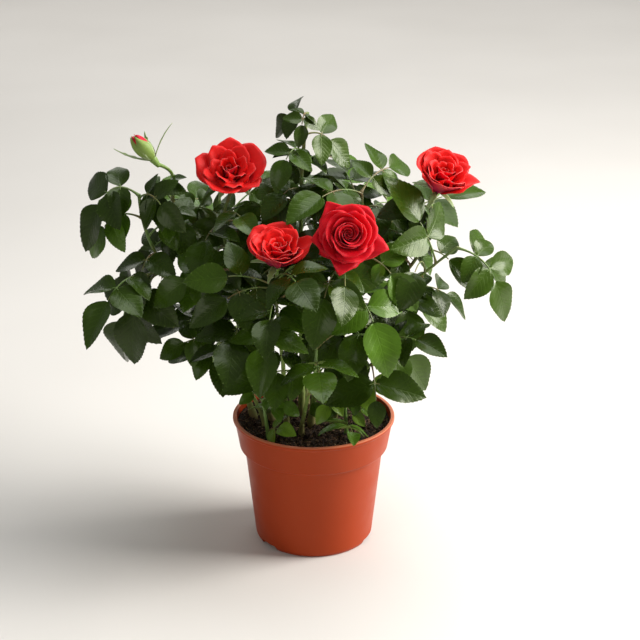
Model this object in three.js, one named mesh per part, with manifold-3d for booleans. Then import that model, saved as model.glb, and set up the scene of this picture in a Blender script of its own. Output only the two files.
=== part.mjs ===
// A miniature rose bush in flower, growing in a round plastic nursery pot with a rolled lip and a deep collar.
// Several thin canes rise from the compost and end in leafy shoots; four shoots carry open double blooms
// and one carries a bud. Rose leaves are compound: three or five toothed leaflets on one thin stalk.
// Millimetres, +Z up. The origin is the centre of the pot's flat underside, and the showing side faces -Y.

import * as THREE from "three";
import { mergeVertices } from "three/addons/utils/BufferGeometryUtils.js";
import Module from "manifold-3d";

const wasm = await Module();
wasm.setup();

// Driving dimensions of the pot, its compost and the clearances between pieces that touch
const RIM_RADIUS = 60;
const POT_HEIGHT = 97;
const FOOT_RADIUS = 43.8;
const GAP = 0.3;
const SLIVER = 0.06;
const POT = {
  wall: 1.5,
  lipHeight: 2.2,
  collarTopRadius: RIM_RADIUS - 1.5,
  collarBottomRadius: RIM_RADIUS - 4.8,
  collarHeight: 24.5,
  bodyTopRadius: FOOT_RADIUS + 8,
  footRounding: 2.5,
  floorThickness: 2.4,
  notchHeight: 3.6,
  notchWidth: 17,
  notchDepth: 7,
  notchAzimuths: [-141, -21, 99],
  drainRadius: 3.2,
  drainCircle: 27,
  drainCount: 3,
  sides: 32,
};
const SOIL_TOP = POT_HEIGHT - 6;
const SOIL_EDGE_DROP = 3;
const SOIL_CROWN_RADIUS = 42;

// Driving dimensions of the plant
const CANE_SIDES = 5;
const CANE_STEPS = 5;
const ROOT_FLARE = 0.55;
const ROOT_FLARE_LENGTH = 0.07;
const SHOOT_SIDES = 5;
const SHOOT_STEPS = 5;
const TWIG_RADIUS = 1.15;
const TWIG_TIP_RADIUS = 0.85;
const TWIG_STEPS = 2;
const GOLDEN_TURN = THREE.MathUtils.degToRad(137.5);
const LEAF_TURNS = [0, 24, -24, 48, -48];
const LEAF = {
  petiole: 0.5,
  pairPitch: 0.42,
  endPitch: 0.3,
  leaveAngle: 54,
  leaveJitter: 10,
  droop: 0.75,
  droopJitter: 0.35,
  roll: 16,
  upperPair: 0.86,
  lowerPair: 0.68,
  upperSpread: 74,
  lowerSpread: 84,
  widthShare: 0.66,
  fold: 16,
  arch: 26,
  tilt: 10,
  sizeJitter: 0.1,
  thickness: 0.7,
  neck: 0.42,
  neckStart: 0.1,
  shoulder: 0.28,
  taper: 0.66,
  taperWidth: 0.76,
  middle: 0.46,
  clearance: 0.4,
};
// The faces of a blade whose corners are its shoulders, tapers, tip, and midrib above and below, from 0 on.
// After them come those that join it to a stalk's end ring of three, and to a neck of two, one over the other.
const BLADE_FACES = [[0, 2, 5], [2, 4, 5], [3, 5, 4], [1, 5, 3], [0, 6, 2], [2, 6, 4], [3, 4, 6], [1, 3, 6]];
const RING_FACES = [[-3, 5, -2], [-3, 0, 5], [-2, 5, -1], [-1, 5, 1], [-3, 6, 0], [-3, -1, 6], [-1, 1, 6]];
const NECK_FACES = [[-2, 0, 5], [-2, 5, 1], [-1, 6, 0], [-1, 1, 6], [-2, -1, 0], [-2, 1, -1]];
// Leaves turn their upper faces to the window, which is in front of the bush and above it.
const WINDOW = new THREE.Vector3(0.1, -0.62, 0.78);
const OUTWARD_PULL = 0.55;
const CROWN_RADIUS = 120;
const UP = new THREE.Vector3(0, 0, 1);

const GREEN = { color: 0x2c4a1c, roughness: 0.45, metalness: 0 };
const CANE_GREEN = { color: 0x5c7a35, roughness: 0.6, metalness: 0 };
const PETAL_RED = { color: 0xc8141c, roughness: 0.55, metalness: 0 };
const TERRACOTTA = { color: 0xb5532f, roughness: 0.5, metalness: 0 };
const PEAT = { color: 0x2a1f18, roughness: 0.95, metalness: 0 };

// Canes rise from the compost: foot (x, y) on the compost, tip (x, y, z), and radius at the foot.
// Boughs leave a cane at a share of its length.
const LIMBS = {
  cane_left: { foot: [-45, 9], tip: [-101, -5, 208], radius: 2.0 },
  cane_bud: { foot: [-31, 4], tip: [-88, 8, 228], radius: 1.9 },
  cane_bloom_left: { foot: [-23, 13], tip: [-60, 4, 222], radius: 2.1 },
  cane_top: { foot: [-9, 15], tip: [-9, 8, 248], radius: 2.2 },
  cane_bloom_front: { foot: [-20, -8], tip: [-25, -42, 192], radius: 1.9 },
  cane_bloom_centre: { foot: [-2, -3], tip: [17, -28, 204], radius: 2.1 },
  cane_right: { foot: [7, 8], tip: [66, -8, 212], radius: 2.2 },
  cane_low_right: { foot: [14, -6], tip: [40, -34, 150], radius: 1.6 },
  cane_low_left: { foot: [-36, -6], tip: [-58, -13, 138], radius: 1.6 },
  cane_front: { foot: [-9, -20], tip: [-2, -40, 134], radius: 1.6 },
  cane_back_left: { foot: [-24, 27], tip: [-58, 48, 196], radius: 2.0 },
  cane_back_right: { foot: [8, 26], tip: [46, 50, 200], radius: 2.0 },
  cane_back: { foot: [-6, 34], tip: [-8, 62, 176], radius: 1.9 },
  bough_left: { from: "cane_left", share: 0.93, tip: [-110, -13, 212], radius: 1.3 },
  bough_right_side: { from: "cane_right", share: 0.55, tip: [54, 2, 172], radius: 1.5 },
  bough_right_outer: { from: "cane_right", share: 0.8, tip: [85, -18, 220], radius: 1.5 },
  bough_centre: { from: "cane_top", share: 0.62, tip: [22, 8, 224], radius: 1.5 },
  bough_inner_left: { from: "cane_bud", share: 0.55, tip: [-50, -18, 182], radius: 1.4 },
  bough_back_low: { from: "cane_back_right", share: 0.3, tip: [34, 52, 142], radius: 1.4 },
  bough_back_side: { from: "cane_back_left", share: 0.35, tip: [-52, 44, 140], radius: 1.4 },
};
const CANE_BEND = { spread: 0.32, rise: 0.58 };
const BOUGH_BEND = { spread: 0.55, rise: 0.42 };
const LIMB_TAPER = 0.6;

// Leafy shoots, one for each mass of foliage: the limb that each goes on from, where its stem ends,
// how many compound leaves it bears, the length of an end leaflet, and the turn of its first leaf.
const SHOOTS = {
  leaves_left_low: { limb: "bough_left", tip: [-118, -17, 212], leaves: 2, size: 47, turn: 240, seed: 62, droop: 2.3 },
  leaves_right_outer: { limb: "bough_right_outer", tip: [101, -20, 234], leaves: 2, size: 42, turn: 160, seed: 208, droop: 0.5 },
  leaves_low_right: { limb: "cane_low_right", tip: [48, -42, 172], leaves: 3, size: 44, turn: 260, seed: 210, droop: 1.4 },
  leaves_left: { limb: "cane_left", tip: [-122, -10, 270], leaves: 5, size: 32, turn: 120, seed: 321, droop: 1.4 },
  leaves_right: { limb: "cane_right", tip: [83, -5, 260], leaves: 4, size: 30, turn: 160, seed: 567, droop: 0.9 },
  leaves_top: { limb: "cane_top", tip: [-4, 5, 325], leaves: 6, size: 30, turn: 180, seed: 524, droop: 1.4 },
  leaves_low_left: { limb: "cane_low_left", tip: [-66, -18, 162], leaves: 3, size: 32, turn: 0, seed: 211, droop: 0.9 },
  leaves_bud: { limb: "cane_bud", tip: [-99, 1, 278], leaves: 4, size: 28, turn: 220, seed: 282, droop: 1.4 },
  leaves_bloom_front: { limb: "cane_bloom_front", tip: [-25, -50, 224], leaves: 4, size: 38, turn: 260, seed: 125, droop: 0.9 },
  leaves_bloom_centre: { limb: "cane_bloom_centre", tip: [22, -36, 232], leaves: 5, size: 40, turn: 140, seed: 366, droop: 1.4 },
  leaves_front: { limb: "cane_front", tip: [2, -50, 172], leaves: 4, size: 38, turn: 20, seed: 172, droop: 0.5 },
  leaves_right_side: { limb: "bough_right_side", tip: [68, 4, 194], leaves: 2, size: 34, turn: 100, seed: 249, droop: 1.4 },
  leaves_bloom_left: { limb: "cane_bloom_left", tip: [-58, 2, 268], leaves: 3, size: 34, turn: 260, seed: 323, droop: 1.4 },
  leaves_inner_left: { limb: "bough_inner_left", tip: [-54, -28, 222], leaves: 4, size: 40, turn: 100, seed: 414, droop: 0.5 },
  leaves_centre: { limb: "bough_centre", tip: [34, 4, 268], leaves: 4, size: 38, turn: 220, seed: 253, droop: 0.9 },
  leaves_back_left: { limb: "cane_back_left", tip: [-72, 58, 240], leaves: 4, size: 38, turn: 100, seed: 55, droop: 0.5 },
  leaves_back_right: { limb: "cane_back_right", tip: [58, 60, 242], leaves: 4, size: 38, turn: 100, seed: 56, droop: 0.5 },
  leaves_back: { limb: "cane_back", tip: [-12, 80, 232], leaves: 4, size: 38, turn: 20, seed: 217, droop: 0.5 },
  leaves_back_low: { limb: "bough_back_low", tip: [46, 64, 166], leaves: 2, size: 36, turn: 200, seed: 378, droop: 0.9 },
  leaves_back_side: { limb: "bough_back_side", tip: [-70, 56, 162], leaves: 3, size: 36, turn: 100, seed: 219, droop: 0.5 },
};
// Young shoots that break straight out of the compost
const BASAL_SHOOTS = {
  leaves_base_left: { foot: [-33, -27], tip: [-37, -30, 122], leaves: 2, size: 18, turn: 340, seed: 180, droop: 0.5 },
  leaves_base_right: { foot: [24, -21], tip: [22, -27, 128], leaves: 2, size: 34, turn: 280, seed: 181, droop: 0.9 },
};

// Blooms: the shoot whose stem goes on into the stalk, the top of the hip, which way the bloom looks,
// its turn about that line, the petal length, and how far its outer petals lean out.
const BLOOMS = {
  bloom_left: { shoot: "leaves_bloom_left", hip: [-59, 1, 277], look: [0.02, -0.62, 0.78], turn: 20, size: 29, open: 1.12 },
  bloom_front: { shoot: "leaves_bloom_front", hip: [-25, -52, 233], look: [0.05, -0.42, 0.9], turn: 70, size: 29, open: 0.86 },
  bloom_centre: { shoot: "leaves_bloom_centre", hip: [23, -42, 244], look: [0.12, -0.84, 0.5], turn: 45, size: 32, open: 1.2 },
  bloom_right: { shoot: "leaves_right", hip: [87, -3, 271], look: [0.25, -0.42, 0.88], turn: 50, size: 30, open: 0.88 },
};
const BUD = { shoot: "leaves_bud", hip: [-112, -4, 294], look: [-0.46, -0.08, 0.88], turn: 30, length: 21, radius: 6.4 };
const PETAL_SEAT = 1.5;
const PETAL_THICKNESS = 0.9;
const BLOOM_COLUMNS = 20;
// Each whorl of petals from the outermost in: petals, the turn from column to column, length as a share of
// the bloom's petal length, lean at the foot and the top in radians, roll and overlap of its sides, how low
// the petals' corners lie, and the heights at which its outer and inner faces are drawn
const PETAL_WHORLS = [
  { petals: 5, shift: 0, length: 1, base: 0.75, tip: 1.3, roll: 0.05, slant: 0.09, low: 0.26,
    outside: [0.45, 1], inside: [1, 0.5, 0.16] },
  { petals: 4, shift: 2, length: 0.88, base: 0.5, tip: 0.85, roll: 0.05, slant: 0.08, low: 0.22,
    outside: [1], inside: [1, 0.25] },
  { petals: 4, shift: 4, length: 0.72, base: 0.3, tip: 0.24, roll: 0.02, slant: 0.08, low: 0.14,
    outside: [1], inside: [1, 0.4] },
];
const HIP = { length: 6.5, radius: 3.3, stalkRadius: 1.15 };
const SEPAL = { count: 5, length: 16, width: 4.4, bend: 0.2, bentDown: 1.9, spread: 0.8, closed: 0.3 };

// A fixed sequence of draws from 0 to 1 for each shoot
function seededDraws(seed) {
  const modulus = 2147483647;
  let state = (seed * 7919 + 104729) % modulus;
  return () => {
    state = (state * 16807) % modulus;
    return state / modulus;
  };
}

const vector = (p) => new THREE.Vector3(...p);
const radians = THREE.MathUtils.degToRad;
const signed = (draw) => 2 * draw() - 1;

// A closed triangle mesh, from its corners and faces, as a solid that can be cut and joined
function solidFromFaces(corners, faces) {
  const positions = new Float32Array(corners.flatMap((c) => [c.x, c.y, c.z]));
  return new wasm.Manifold(
    new wasm.Mesh({ numProp: 3, vertProperties: positions, triVerts: new Uint32Array(faces.flat()) }),
  );
}

// A three.js geometry as such a solid
function solidFromGeometry(geometry) {
  const plain = geometry.clone();
  plain.deleteAttribute("normal");
  plain.deleteAttribute("uv");
  const merged = mergeVertices(plain, 1e-4);
  return new wasm.Manifold(
    new wasm.Mesh({
      numProp: 3,
      vertProperties: merged.attributes.position.array,
      triVerts: new Uint32Array(merged.index.array),
    }),
  );
}

// The largest body of a solid: loose scraps are dropped, and sealed hollows are filled.
function wholeBody(solid) {
  return solid
    .simplify(SLIVER)
    .decompose()
    .reduce((best, body) => (body.volume() > best.volume() ? body : best));
}

function meshOf(name, solid, finish) {
  const cut = solid.getMesh();
  const geometry = new THREE.BufferGeometry();
  geometry.setAttribute("position", new THREE.BufferAttribute(new Float32Array(cut.vertProperties), 3));
  geometry.setIndex(new THREE.BufferAttribute(new Uint32Array(cut.triVerts), 1));
  geometry.computeVertexNormals();
  const mesh = new THREE.Mesh(geometry, new THREE.MeshStandardMaterial(finish));
  mesh.name = name;
  return mesh;
}

// Two directions square to a line, from whichever level axis lies less along it
function squareTo(direction) {
  const reference = new THREE.Vector3(...(Math.abs(direction.x) < 0.75 ? [1, 0, 0] : [0, 1, 0]));
  const first = reference.addScaledVector(direction, -reference.dot(direction)).normalize();
  return [first, direction.clone().cross(first)];
}

// A tapering limb along a curve, closed at both ends. The first ring lies flat where levelFoot is set.
function taperedLimb(curve, radiusAt, sides, steps, levelFoot = false) {
  const corners = [];
  const faces = [];
  for (let i = 0; i <= steps; i++) {
    const share = i / steps;
    const centre = curve.getPoint(share);
    const along = levelFoot && i === 0 ? UP.clone() : curve.getTangent(share);
    const [first, second] = squareTo(along);
    for (let k = 0; k < sides; k++) {
      const angle = (2 * Math.PI * k) / sides;
      corners.push(
        centre
          .clone()
          .addScaledVector(first, radiusAt(share) * Math.cos(angle))
          .addScaledVector(second, radiusAt(share) * Math.sin(angle)),
      );
    }
  }
  for (let i = 0; i < steps; i++)
    for (let k = 0; k < sides; k++) {
      const next = (k + 1) % sides;
      const [a, b, c, d] = [i * sides + k, i * sides + next, (i + 1) * sides + next, (i + 1) * sides + k];
      faces.push([a, b, c], [a, c, d]);
    }
  for (let k = 1; k < sides - 1; k++) {
    faces.push([0, k + 1, k]);
    faces.push([steps * sides, steps * sides + k, steps * sides + k + 1]);
  }
  return solidFromFaces(corners, faces);
}

// The three corners round a twig's centre line, or round the neck of a leaflet
function twigRing(centre, side, face, radius) {
  return [[0.87, -0.4], [0, 0.8], [-0.87, -0.4]].map(([across, up]) =>
    centre.clone().addScaledVector(side, across * radius).addScaledVector(face, up * radius),
  );
}

// One leaflet: an ovate blade with a pointed tip, folded up along its midrib and arched down to its tip.
// It is thickest at the midrib. Its neck starts inside the stalk that carries it, or, for the leaflet
// at the end, the stalk itself runs on into the blade.
function leafletSolid({ base, along, face, length, stalk }, grow = 0) {
  const side = along.clone().cross(face).normalize();
  const arch = radians(LEAF.arch);
  const fold = radians(LEAF.fold);
  const halfWidth = (length * LEAF.widthShare) / 2 + grow;
  const half = LEAF.thickness / 2 + grow;
  const midrib = (share) =>
    base
      .clone()
      .addScaledVector(along, (length * Math.sin(arch * share)) / arch)
      .addScaledVector(face, (-length * (1 - Math.cos(arch * share))) / arch);
  const faceAt = (share) =>
    face
      .clone()
      .multiplyScalar(Math.cos(arch * share))
      .addScaledVector(along, Math.sin(arch * share));
  const edge = (share, width, sign) =>
    midrib(share)
      .addScaledVector(side, sign * width * Math.cos(fold))
      .addScaledVector(faceAt(share), width * Math.sin(fold));
  const corners = [];
  const faces = [];
  if (stalk) {
    faces.push([0, 1, 2]);
    for (let i = 0; i <= TWIG_STEPS; i++) {
      const share = i / TWIG_STEPS;
      const run = stalk.getTangent(share);
      const up = face.clone().addScaledVector(run, -face.dot(run)).normalize();
      const radius = TWIG_RADIUS + (TWIG_TIP_RADIUS - TWIG_RADIUS) * share + grow;
      corners.push(...twigRing(stalk.getPoint(share), run.clone().cross(up), up, radius));
      if (i < TWIG_STEPS)
        for (let k = 0; k < 3; k++) {
          const [a, b] = [i * 3 + k, i * 3 + ((k + 1) % 3)];
          faces.push([a, b + 3, b], [a, a + 3, b + 3]);
        }
    }
  } else {
    const neck = base.clone().addScaledVector(along, LEAF.neckStart);
    corners.push(neck.clone().addScaledVector(face, LEAF.neck + grow), neck.addScaledVector(face, -LEAF.neck - grow));
  }
  const first = corners.length;
  corners.push(edge(LEAF.shoulder, halfWidth, 1), edge(LEAF.shoulder, halfWidth, -1));
  corners.push(edge(LEAF.taper, halfWidth * LEAF.taperWidth, 1), edge(LEAF.taper, halfWidth * LEAF.taperWidth, -1));
  corners.push(midrib(1 + grow / length));
  corners.push(midrib(LEAF.middle).addScaledVector(faceAt(LEAF.middle), half));
  corners.push(midrib(LEAF.middle).addScaledVector(faceAt(LEAF.middle), -half));
  for (const corner of [...BLADE_FACES, ...(stalk ? RING_FACES : NECK_FACES)])
    faces.push(corner.map((index) => index + first));
  return solidFromFaces(corners, faces);
}

// Where the leaflets of one compound leaf sit: a pair or two along its stalk, and one at the end
function leafPlan(stem, place, turn, size, leaflets, hangs, draw) {
  const attach = stem.getPoint(place);
  const tangent = stem.getTangent(place);
  const [first, second] = squareTo(tangent);
  const outwards = first.multiplyScalar(Math.cos(turn)).addScaledVector(second, Math.sin(turn));
  const leave = radians(LEAF.leaveAngle + LEAF.leaveJitter * signed(draw));
  const setOff = tangent
    .clone()
    .multiplyScalar(Math.cos(leave))
    .addScaledVector(outwards, Math.sin(leave));
  const droop = hangs + LEAF.droopJitter * signed(draw);
  const rollAngle = radians(LEAF.roll * signed(draw));
  const length = size * (1 + LEAF.sizeJitter * signed(draw));
  const pairs = (leaflets - 1) / 2;
  const stalkLength = length * (LEAF.petiole + LEAF.pairPitch * (pairs - 1) + LEAF.endPitch);
  const bend = attach.clone().addScaledVector(setOff, stalkLength / 2);
  const hang = setOff.clone().addScaledVector(UP, -droop).normalize();
  const stalk = new THREE.QuadraticBezierCurve3(
    attach,
    bend,
    bend.clone().addScaledVector(hang, stalkLength / 2),
  );
  const light = WINDOW.clone().add(
    new THREE.Vector3(attach.x, attach.y, 0).multiplyScalar(OUTWARD_PULL / CROWN_RADIUS),
  );
  const bladeAt = (share) => {
    const along = stalk.getTangent(share);
    const face = light.clone().addScaledVector(along, -light.dot(along)).normalize();
    face.applyAxisAngle(along, rollAngle);
    return { base: stalk.getPoint(share), along, face, side: along.clone().cross(face) };
  };
  const blades = [];
  for (let pair = 0; pair < pairs; pair++) {
    const fromEnd = pairs - 1 - pair;
    const share = 1 - (length * (LEAF.endPitch + LEAF.pairPitch * fromEnd)) / stalkLength;
    const spread = radians(fromEnd ? LEAF.lowerSpread : LEAF.upperSpread);
    for (const sign of [1, -1]) {
      const { base, along, face, side } = bladeAt(share);
      const tilt = radians(LEAF.tilt * signed(draw));
      const points = along
        .clone()
        .multiplyScalar(Math.cos(spread))
        .addScaledVector(side, sign * Math.sin(spread));
      blades.push({
        base,
        along: points,
        face: face.clone().applyAxisAngle(points, tilt),
        length: length * (fromEnd ? LEAF.lowerPair : LEAF.upperPair),
      });
    }
  }
  const { base, along, face } = bladeAt(1);
  return { blades, end: { base, along, face, length, stalk } };
}

// The rule that every leafy shoot grows by: leaves at even steps up the stem, each turned on from the last.
// Each leaf has a few ways that it may lie, from which the one with most room is taken.
function shootPlan(stem, { leaves, size, turn, seed, droop = LEAF.droop }) {
  const plans = [];
  for (let k = 0; k < leaves; k++) {
    const place = 0.1 + (0.86 * k) / Math.max(leaves - 1, 1);
    const leaflets = seededDraws(seed + k * 31)() < 0.6 ? 5 : 3;
    const smaller = 1 - 0.16 * (k / leaves);
    plans.push(
      LEAF_TURNS.map((offset, attempt) => {
        const draw = seededDraws(seed + k * 31 + attempt * 1009);
        const azimuth = radians(turn + offset) + GOLDEN_TURN * k;
        return leafPlan(stem, place, azimuth, size * smaller, leaflets, droop, draw);
      }),
    );
  }
  return plans;
}

// Limbs

function limbCurve({ foot, from, share, tip }) {
  const start = from
    ? limbCurves[from].getPoint(share)
    : new THREE.Vector3(foot[0], foot[1], SOIL_TOP + GAP);
  const end = vector(tip);
  const across = end.clone().sub(start);
  const { spread, rise } = from ? BOUGH_BEND : CANE_BEND;
  const bend = start.clone().add(across.multiply(new THREE.Vector3(spread, spread, rise)));
  return new THREE.QuadraticBezierCurve3(start, bend, end);
}

const limbCurves = {};
const limbSolids = {};
for (const [name, limb] of Object.entries(LIMBS)) {
  const curve = limbCurve(limb);
  const radiusAt = (share, extra = 0) =>
    limb.radius * (1 - (1 - LIMB_TAPER) * share) *
      (limb.foot ? 1 + ROOT_FLARE * Math.exp(-share / ROOT_FLARE_LENGTH) : 1) +
    extra;
  limbCurves[name] = curve;
  let solid = taperedLimb(curve, radiusAt, CANE_SIDES, CANE_STEPS, Boolean(limb.foot));
  if (limb.from) solid = wholeBody(solid.subtract(limbSolids[limb.from].grown));
  limbSolids[name] = {
    solid,
    grown: taperedLimb(curve, (share) => radiusAt(share, 2 * GAP), CANE_SIDES, CANE_STEPS),
    endRadius: radiusAt(1),
  };
}

// A shoot's stem goes on from its limb along the same line, a small gap clear of the limb's end.
function stemCurve({ limb, foot, tip }) {
  const end = vector(tip);
  if (!limb) {
    const start = new THREE.Vector3(foot[0], foot[1], SOIL_TOP + GAP);
    return new THREE.QuadraticBezierCurve3(start, start.clone().lerp(end, 0.5).addScaledVector(UP, 4), end);
  }
  const leaving = limbCurves[limb].getTangent(1);
  const start = limbCurves[limb].getPoint(1).addScaledVector(leaving, GAP);
  const bend = start.clone().addScaledVector(leaving, start.distanceTo(end) / 2);
  return new THREE.QuadraticBezierCurve3(start, bend, end);
}

// Blooms and bud

// A hip and the petals on it as one body: a line that runs up the hip, up and down each whorl of petals
// from the outermost in, and up the heart, turned round the bloom's line with a lobe for each petal.
// A petal leans from that line by leanBase at its foot and leanTip at its top, its corners lie lower than
// its middle, its sides roll out, and one side stands out over the next petal.
function bloomBody({ size, open, turn }) {
  const rings = [];
  const ring = (pointAt) => rings.push(Array.from({ length: BLOOM_COLUMNS }, (_, column) => pointAt(column)));
  const around = (column, radius, height) => {
    const angle = radians(turn) + (2 * Math.PI * column) / BLOOM_COLUMNS;
    return new THREE.Vector3(radius * Math.cos(angle), radius * Math.sin(angle), height);
  };
  const circle = (radius, height) => ring((column) => around(column, radius, height));
  circle(HIP.radius, -HIP.length * 0.45);
  circle(HIP.radius * 0.8, 0.4);
  for (const { petals, shift, length, base, tip, roll, slant, low, outside, inside } of PETAL_WHORLS) {
    const [leanBase, leanTip] = [base * open, tip * open];
    const swing = leanTip - leanBase;
    const reach = size * length;
    const columns = BLOOM_COLUMNS / petals;
    const whorl = (height, offset) =>
      ring((column) => {
        const u = (2 * ((column + shift) % columns)) / columns - 1;
        const lean = leanBase + swing * height * (1 - low * Math.abs(u) ** 1.6);
        const out = PETAL_SEAT + (reach * (Math.cos(leanBase) - Math.cos(lean))) / swing;
        const up = (reach * (Math.sin(lean) - Math.sin(leanBase))) / swing;
        const push = height * reach * (slant * u + roll * u * u) - offset;
        return around(column, out + push * Math.cos(lean), up - push * Math.sin(lean));
      });
    for (const height of outside) whorl(height, -PETAL_THICKNESS / 2);
    for (const height of inside) whorl(height, PETAL_THICKNESS / 2);
  }
  circle(size * 0.055, size * 0.45);
  const corners = [...rings.flat(), new THREE.Vector3(0, 0, -HIP.length), new THREE.Vector3(0, 0, size * 0.66)];
  const last = (rings.length - 1) * BLOOM_COLUMNS;
  const faces = [];
  for (let column = 0; column < BLOOM_COLUMNS; column++) {
    const next = (column + 1) % BLOOM_COLUMNS;
    faces.push([next, column, corners.length - 2], [last + column, last + next, corners.length - 1]);
    for (let row = 0; row < last; row += BLOOM_COLUMNS) {
      const above = row + BLOOM_COLUMNS;
      faces.push([row + column, row + next, above + next], [row + column, above + next, above + column]);
    }
  }
  return solidFromFaces(corners, faces);
}

// A lathe profile of (radius, height) pairs, from the axis back to the axis
function turned(profile, sides) {
  const points = profile.map(([radius, height]) => new THREE.Vector2(radius, height));
  const geometry = new THREE.LatheGeometry(points, sides);
  return solidFromGeometry(geometry.rotateX(Math.PI / 2));
}

// A narrow pointed sepal, leaning from the bloom's line and bending back to its tip
function sepalSolid(azimuth, lean, length) {
  const outwards = new THREE.Vector3(Math.cos(azimuth), Math.sin(azimuth), 0);
  const along = outwards.clone().multiplyScalar(Math.sin(lean)).addScaledVector(UP, Math.cos(lean));
  const side = outwards.clone().cross(UP);
  const face = side.clone().cross(along);
  const centre = (share) =>
    outwards
      .clone()
      .multiplyScalar(HIP.radius * 0.5)
      .addScaledVector(along, share * length)
      .addScaledVector(face, -SEPAL.bend * length * share ** 2);
  const corners = [
    ...twigRing(centre(0), side, face, SEPAL.width * 0.5),
    ...twigRing(centre(0.5), side, face, SEPAL.width * 0.42),
    centre(1),
  ];
  const faces = [[0, 1, 2], [3, 6, 4], [4, 6, 5], [5, 6, 3]];
  for (let k = 0; k < 3; k++) faces.push([k, ((k + 1) % 3) + 3, (k + 1) % 3], [k, k + 3, ((k + 1) % 3) + 3]);
  return solidFromFaces(corners, faces);
}

// Turns a piece made about +Z so that +Z points along look, and sets it on a point
function placed(solid, look, at) {
  const turn = new THREE.Quaternion().setFromUnitVectors(UP, vector(look).normalize());
  const matrix = new THREE.Matrix4().compose(vector(at), turn, new THREE.Vector3(1, 1, 1));
  return solid.transform(matrix.elements);
}

// The stalk goes on from the shoot's stem, a small gap clear of it, and ends inside the hip.
function stalkSolid(shoot, hip, look) {
  const stem = stemCurve(SHOOTS[shoot]);
  const leaving = stem.getTangent(1);
  const start = stem.getPoint(1).addScaledVector(leaving, GAP);
  const end = vector(hip).addScaledVector(vector(look).normalize(), -HIP.length * 0.6);
  const bend = start.clone().addScaledVector(leaving, start.distanceTo(end) / 2);
  const curve = new THREE.QuadraticBezierCurve3(start, bend, end);
  return taperedLimb(curve, () => HIP.stalkRadius, SHOOT_SIDES, 4);
}

const hipProfile = (r, l) => [[0, -l], [r * 0.45, -l], [r, -l * 0.45], [r * 0.95, 0], [r * 0.8, 1.6], [0, 1.6]];

function bloomSolid(bloom) {
  const { look, hip, shoot } = bloom;
  const pieces = [bloomBody(bloom)];
  for (let k = 0; k < SEPAL.count; k++)
    pieces.push(sepalSolid((2 * Math.PI * (k + 0.5)) / SEPAL.count, SEPAL.bentDown, SEPAL.length));
  const flower = placed(wasm.Manifold.union(pieces), look, hip);
  return wholeBody(flower.add(stalkSolid(shoot, hip, look)));
}

function budSolid({ shoot, hip, look, turn, length, radius }) {
  const body = [
    [0, 0],
    [radius * 0.6, 0.6],
    [radius, length * 0.3],
    [radius * 0.86, length * 0.58],
    [radius * 0.3, length * 0.95],
    [0, length],
  ];
  const pieces = [turned(hipProfile(HIP.radius * 1.1, HIP.length), 7), turned(body, 8)];
  for (let k = 0; k < SEPAL.count; k++) {
    const azimuth = radians(turn) + (2 * Math.PI * k) / SEPAL.count;
    pieces.push(sepalSolid(azimuth, k % 2 ? SEPAL.closed : SEPAL.spread, SEPAL.length * 1.25));
  }
  const flower = placed(wasm.Manifold.union(pieces), look, hip);
  return wholeBody(flower.add(stalkSolid(shoot, hip, look)));
}

// Pot and compost

function potSolid() {
  const { wall, collarTopRadius, collarBottomRadius, bodyTopRadius, footRounding, floorThickness } = POT;
  const collarFoot = POT_HEIGHT - POT.collarHeight;
  const outside = [
    [0, 0],
    [FOOT_RADIUS - footRounding, 0],
    [FOOT_RADIUS - footRounding * 0.3, footRounding * 0.3],
    [FOOT_RADIUS, footRounding],
    [bodyTopRadius, collarFoot - 1],
    [collarBottomRadius - 0.8, collarFoot],
    [collarBottomRadius, collarFoot + 1.2],
    [collarTopRadius, POT_HEIGHT - POT.lipHeight],
    [RIM_RADIUS, POT_HEIGHT - POT.lipHeight * 0.6],
    [RIM_RADIUS - 0.7, POT_HEIGHT],
  ];
  const inside = [
    [collarTopRadius - wall, POT_HEIGHT],
    [collarBottomRadius - wall, collarFoot + 1.2],
    [bodyTopRadius - wall, collarFoot - 1],
    [FOOT_RADIUS - wall, floorThickness + POT.notchHeight],
    [0, floorThickness + POT.notchHeight],
  ];
  let pot = turned([...outside, ...inside], POT.sides);
  for (const azimuth of POT.notchAzimuths) {
    const notch = new THREE.BoxGeometry(POT.notchDepth, POT.notchWidth, POT.notchHeight * 2);
    notch.translate(FOOT_RADIUS - POT.notchDepth / 2 + 1, 0, 0).rotateZ(radians(azimuth));
    pot = pot.subtract(solidFromGeometry(notch));
  }
  for (let k = 0; k < POT.drainCount; k++) {
    const drain = new THREE.CylinderGeometry(POT.drainRadius, POT.drainRadius, 30, 8).rotateX(Math.PI / 2);
    drain.translate(POT.drainCircle, 0, 0).rotateZ((2 * Math.PI * (k + 0.5)) / POT.drainCount);
    pot = pot.subtract(solidFromGeometry(drain));
  }
  return wholeBody(pot);
}

function soilSolid() {
  const { wall, collarTopRadius, collarBottomRadius, bodyTopRadius, floorThickness, notchHeight } = POT;
  const collarFoot = POT_HEIGHT - POT.collarHeight;
  const edge = SOIL_TOP - SOIL_EDGE_DROP;
  const inset = wall + GAP + 0.2;
  const slope = (collarTopRadius - collarBottomRadius) / (POT.collarHeight - 1.2);
  return turned(
    [
      [0, floorThickness + notchHeight + GAP],
      [FOOT_RADIUS - inset, floorThickness + notchHeight + GAP],
      [bodyTopRadius - inset, collarFoot - 1],
      [collarBottomRadius - inset, collarFoot + 1.4],
      [collarBottomRadius - inset + slope * (edge - collarFoot - 1.2), edge],
      [SOIL_CROWN_RADIUS, SOIL_TOP],
      [0, SOIL_TOP],
    ],
    POT.sides,
  );
}

// Assembly: leaflets and stalks that would touch a limb, a bloom, the pot or another shoot are skipped.

const held = (solid) => ({ solid, box: solid.boundingBox() });

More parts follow.
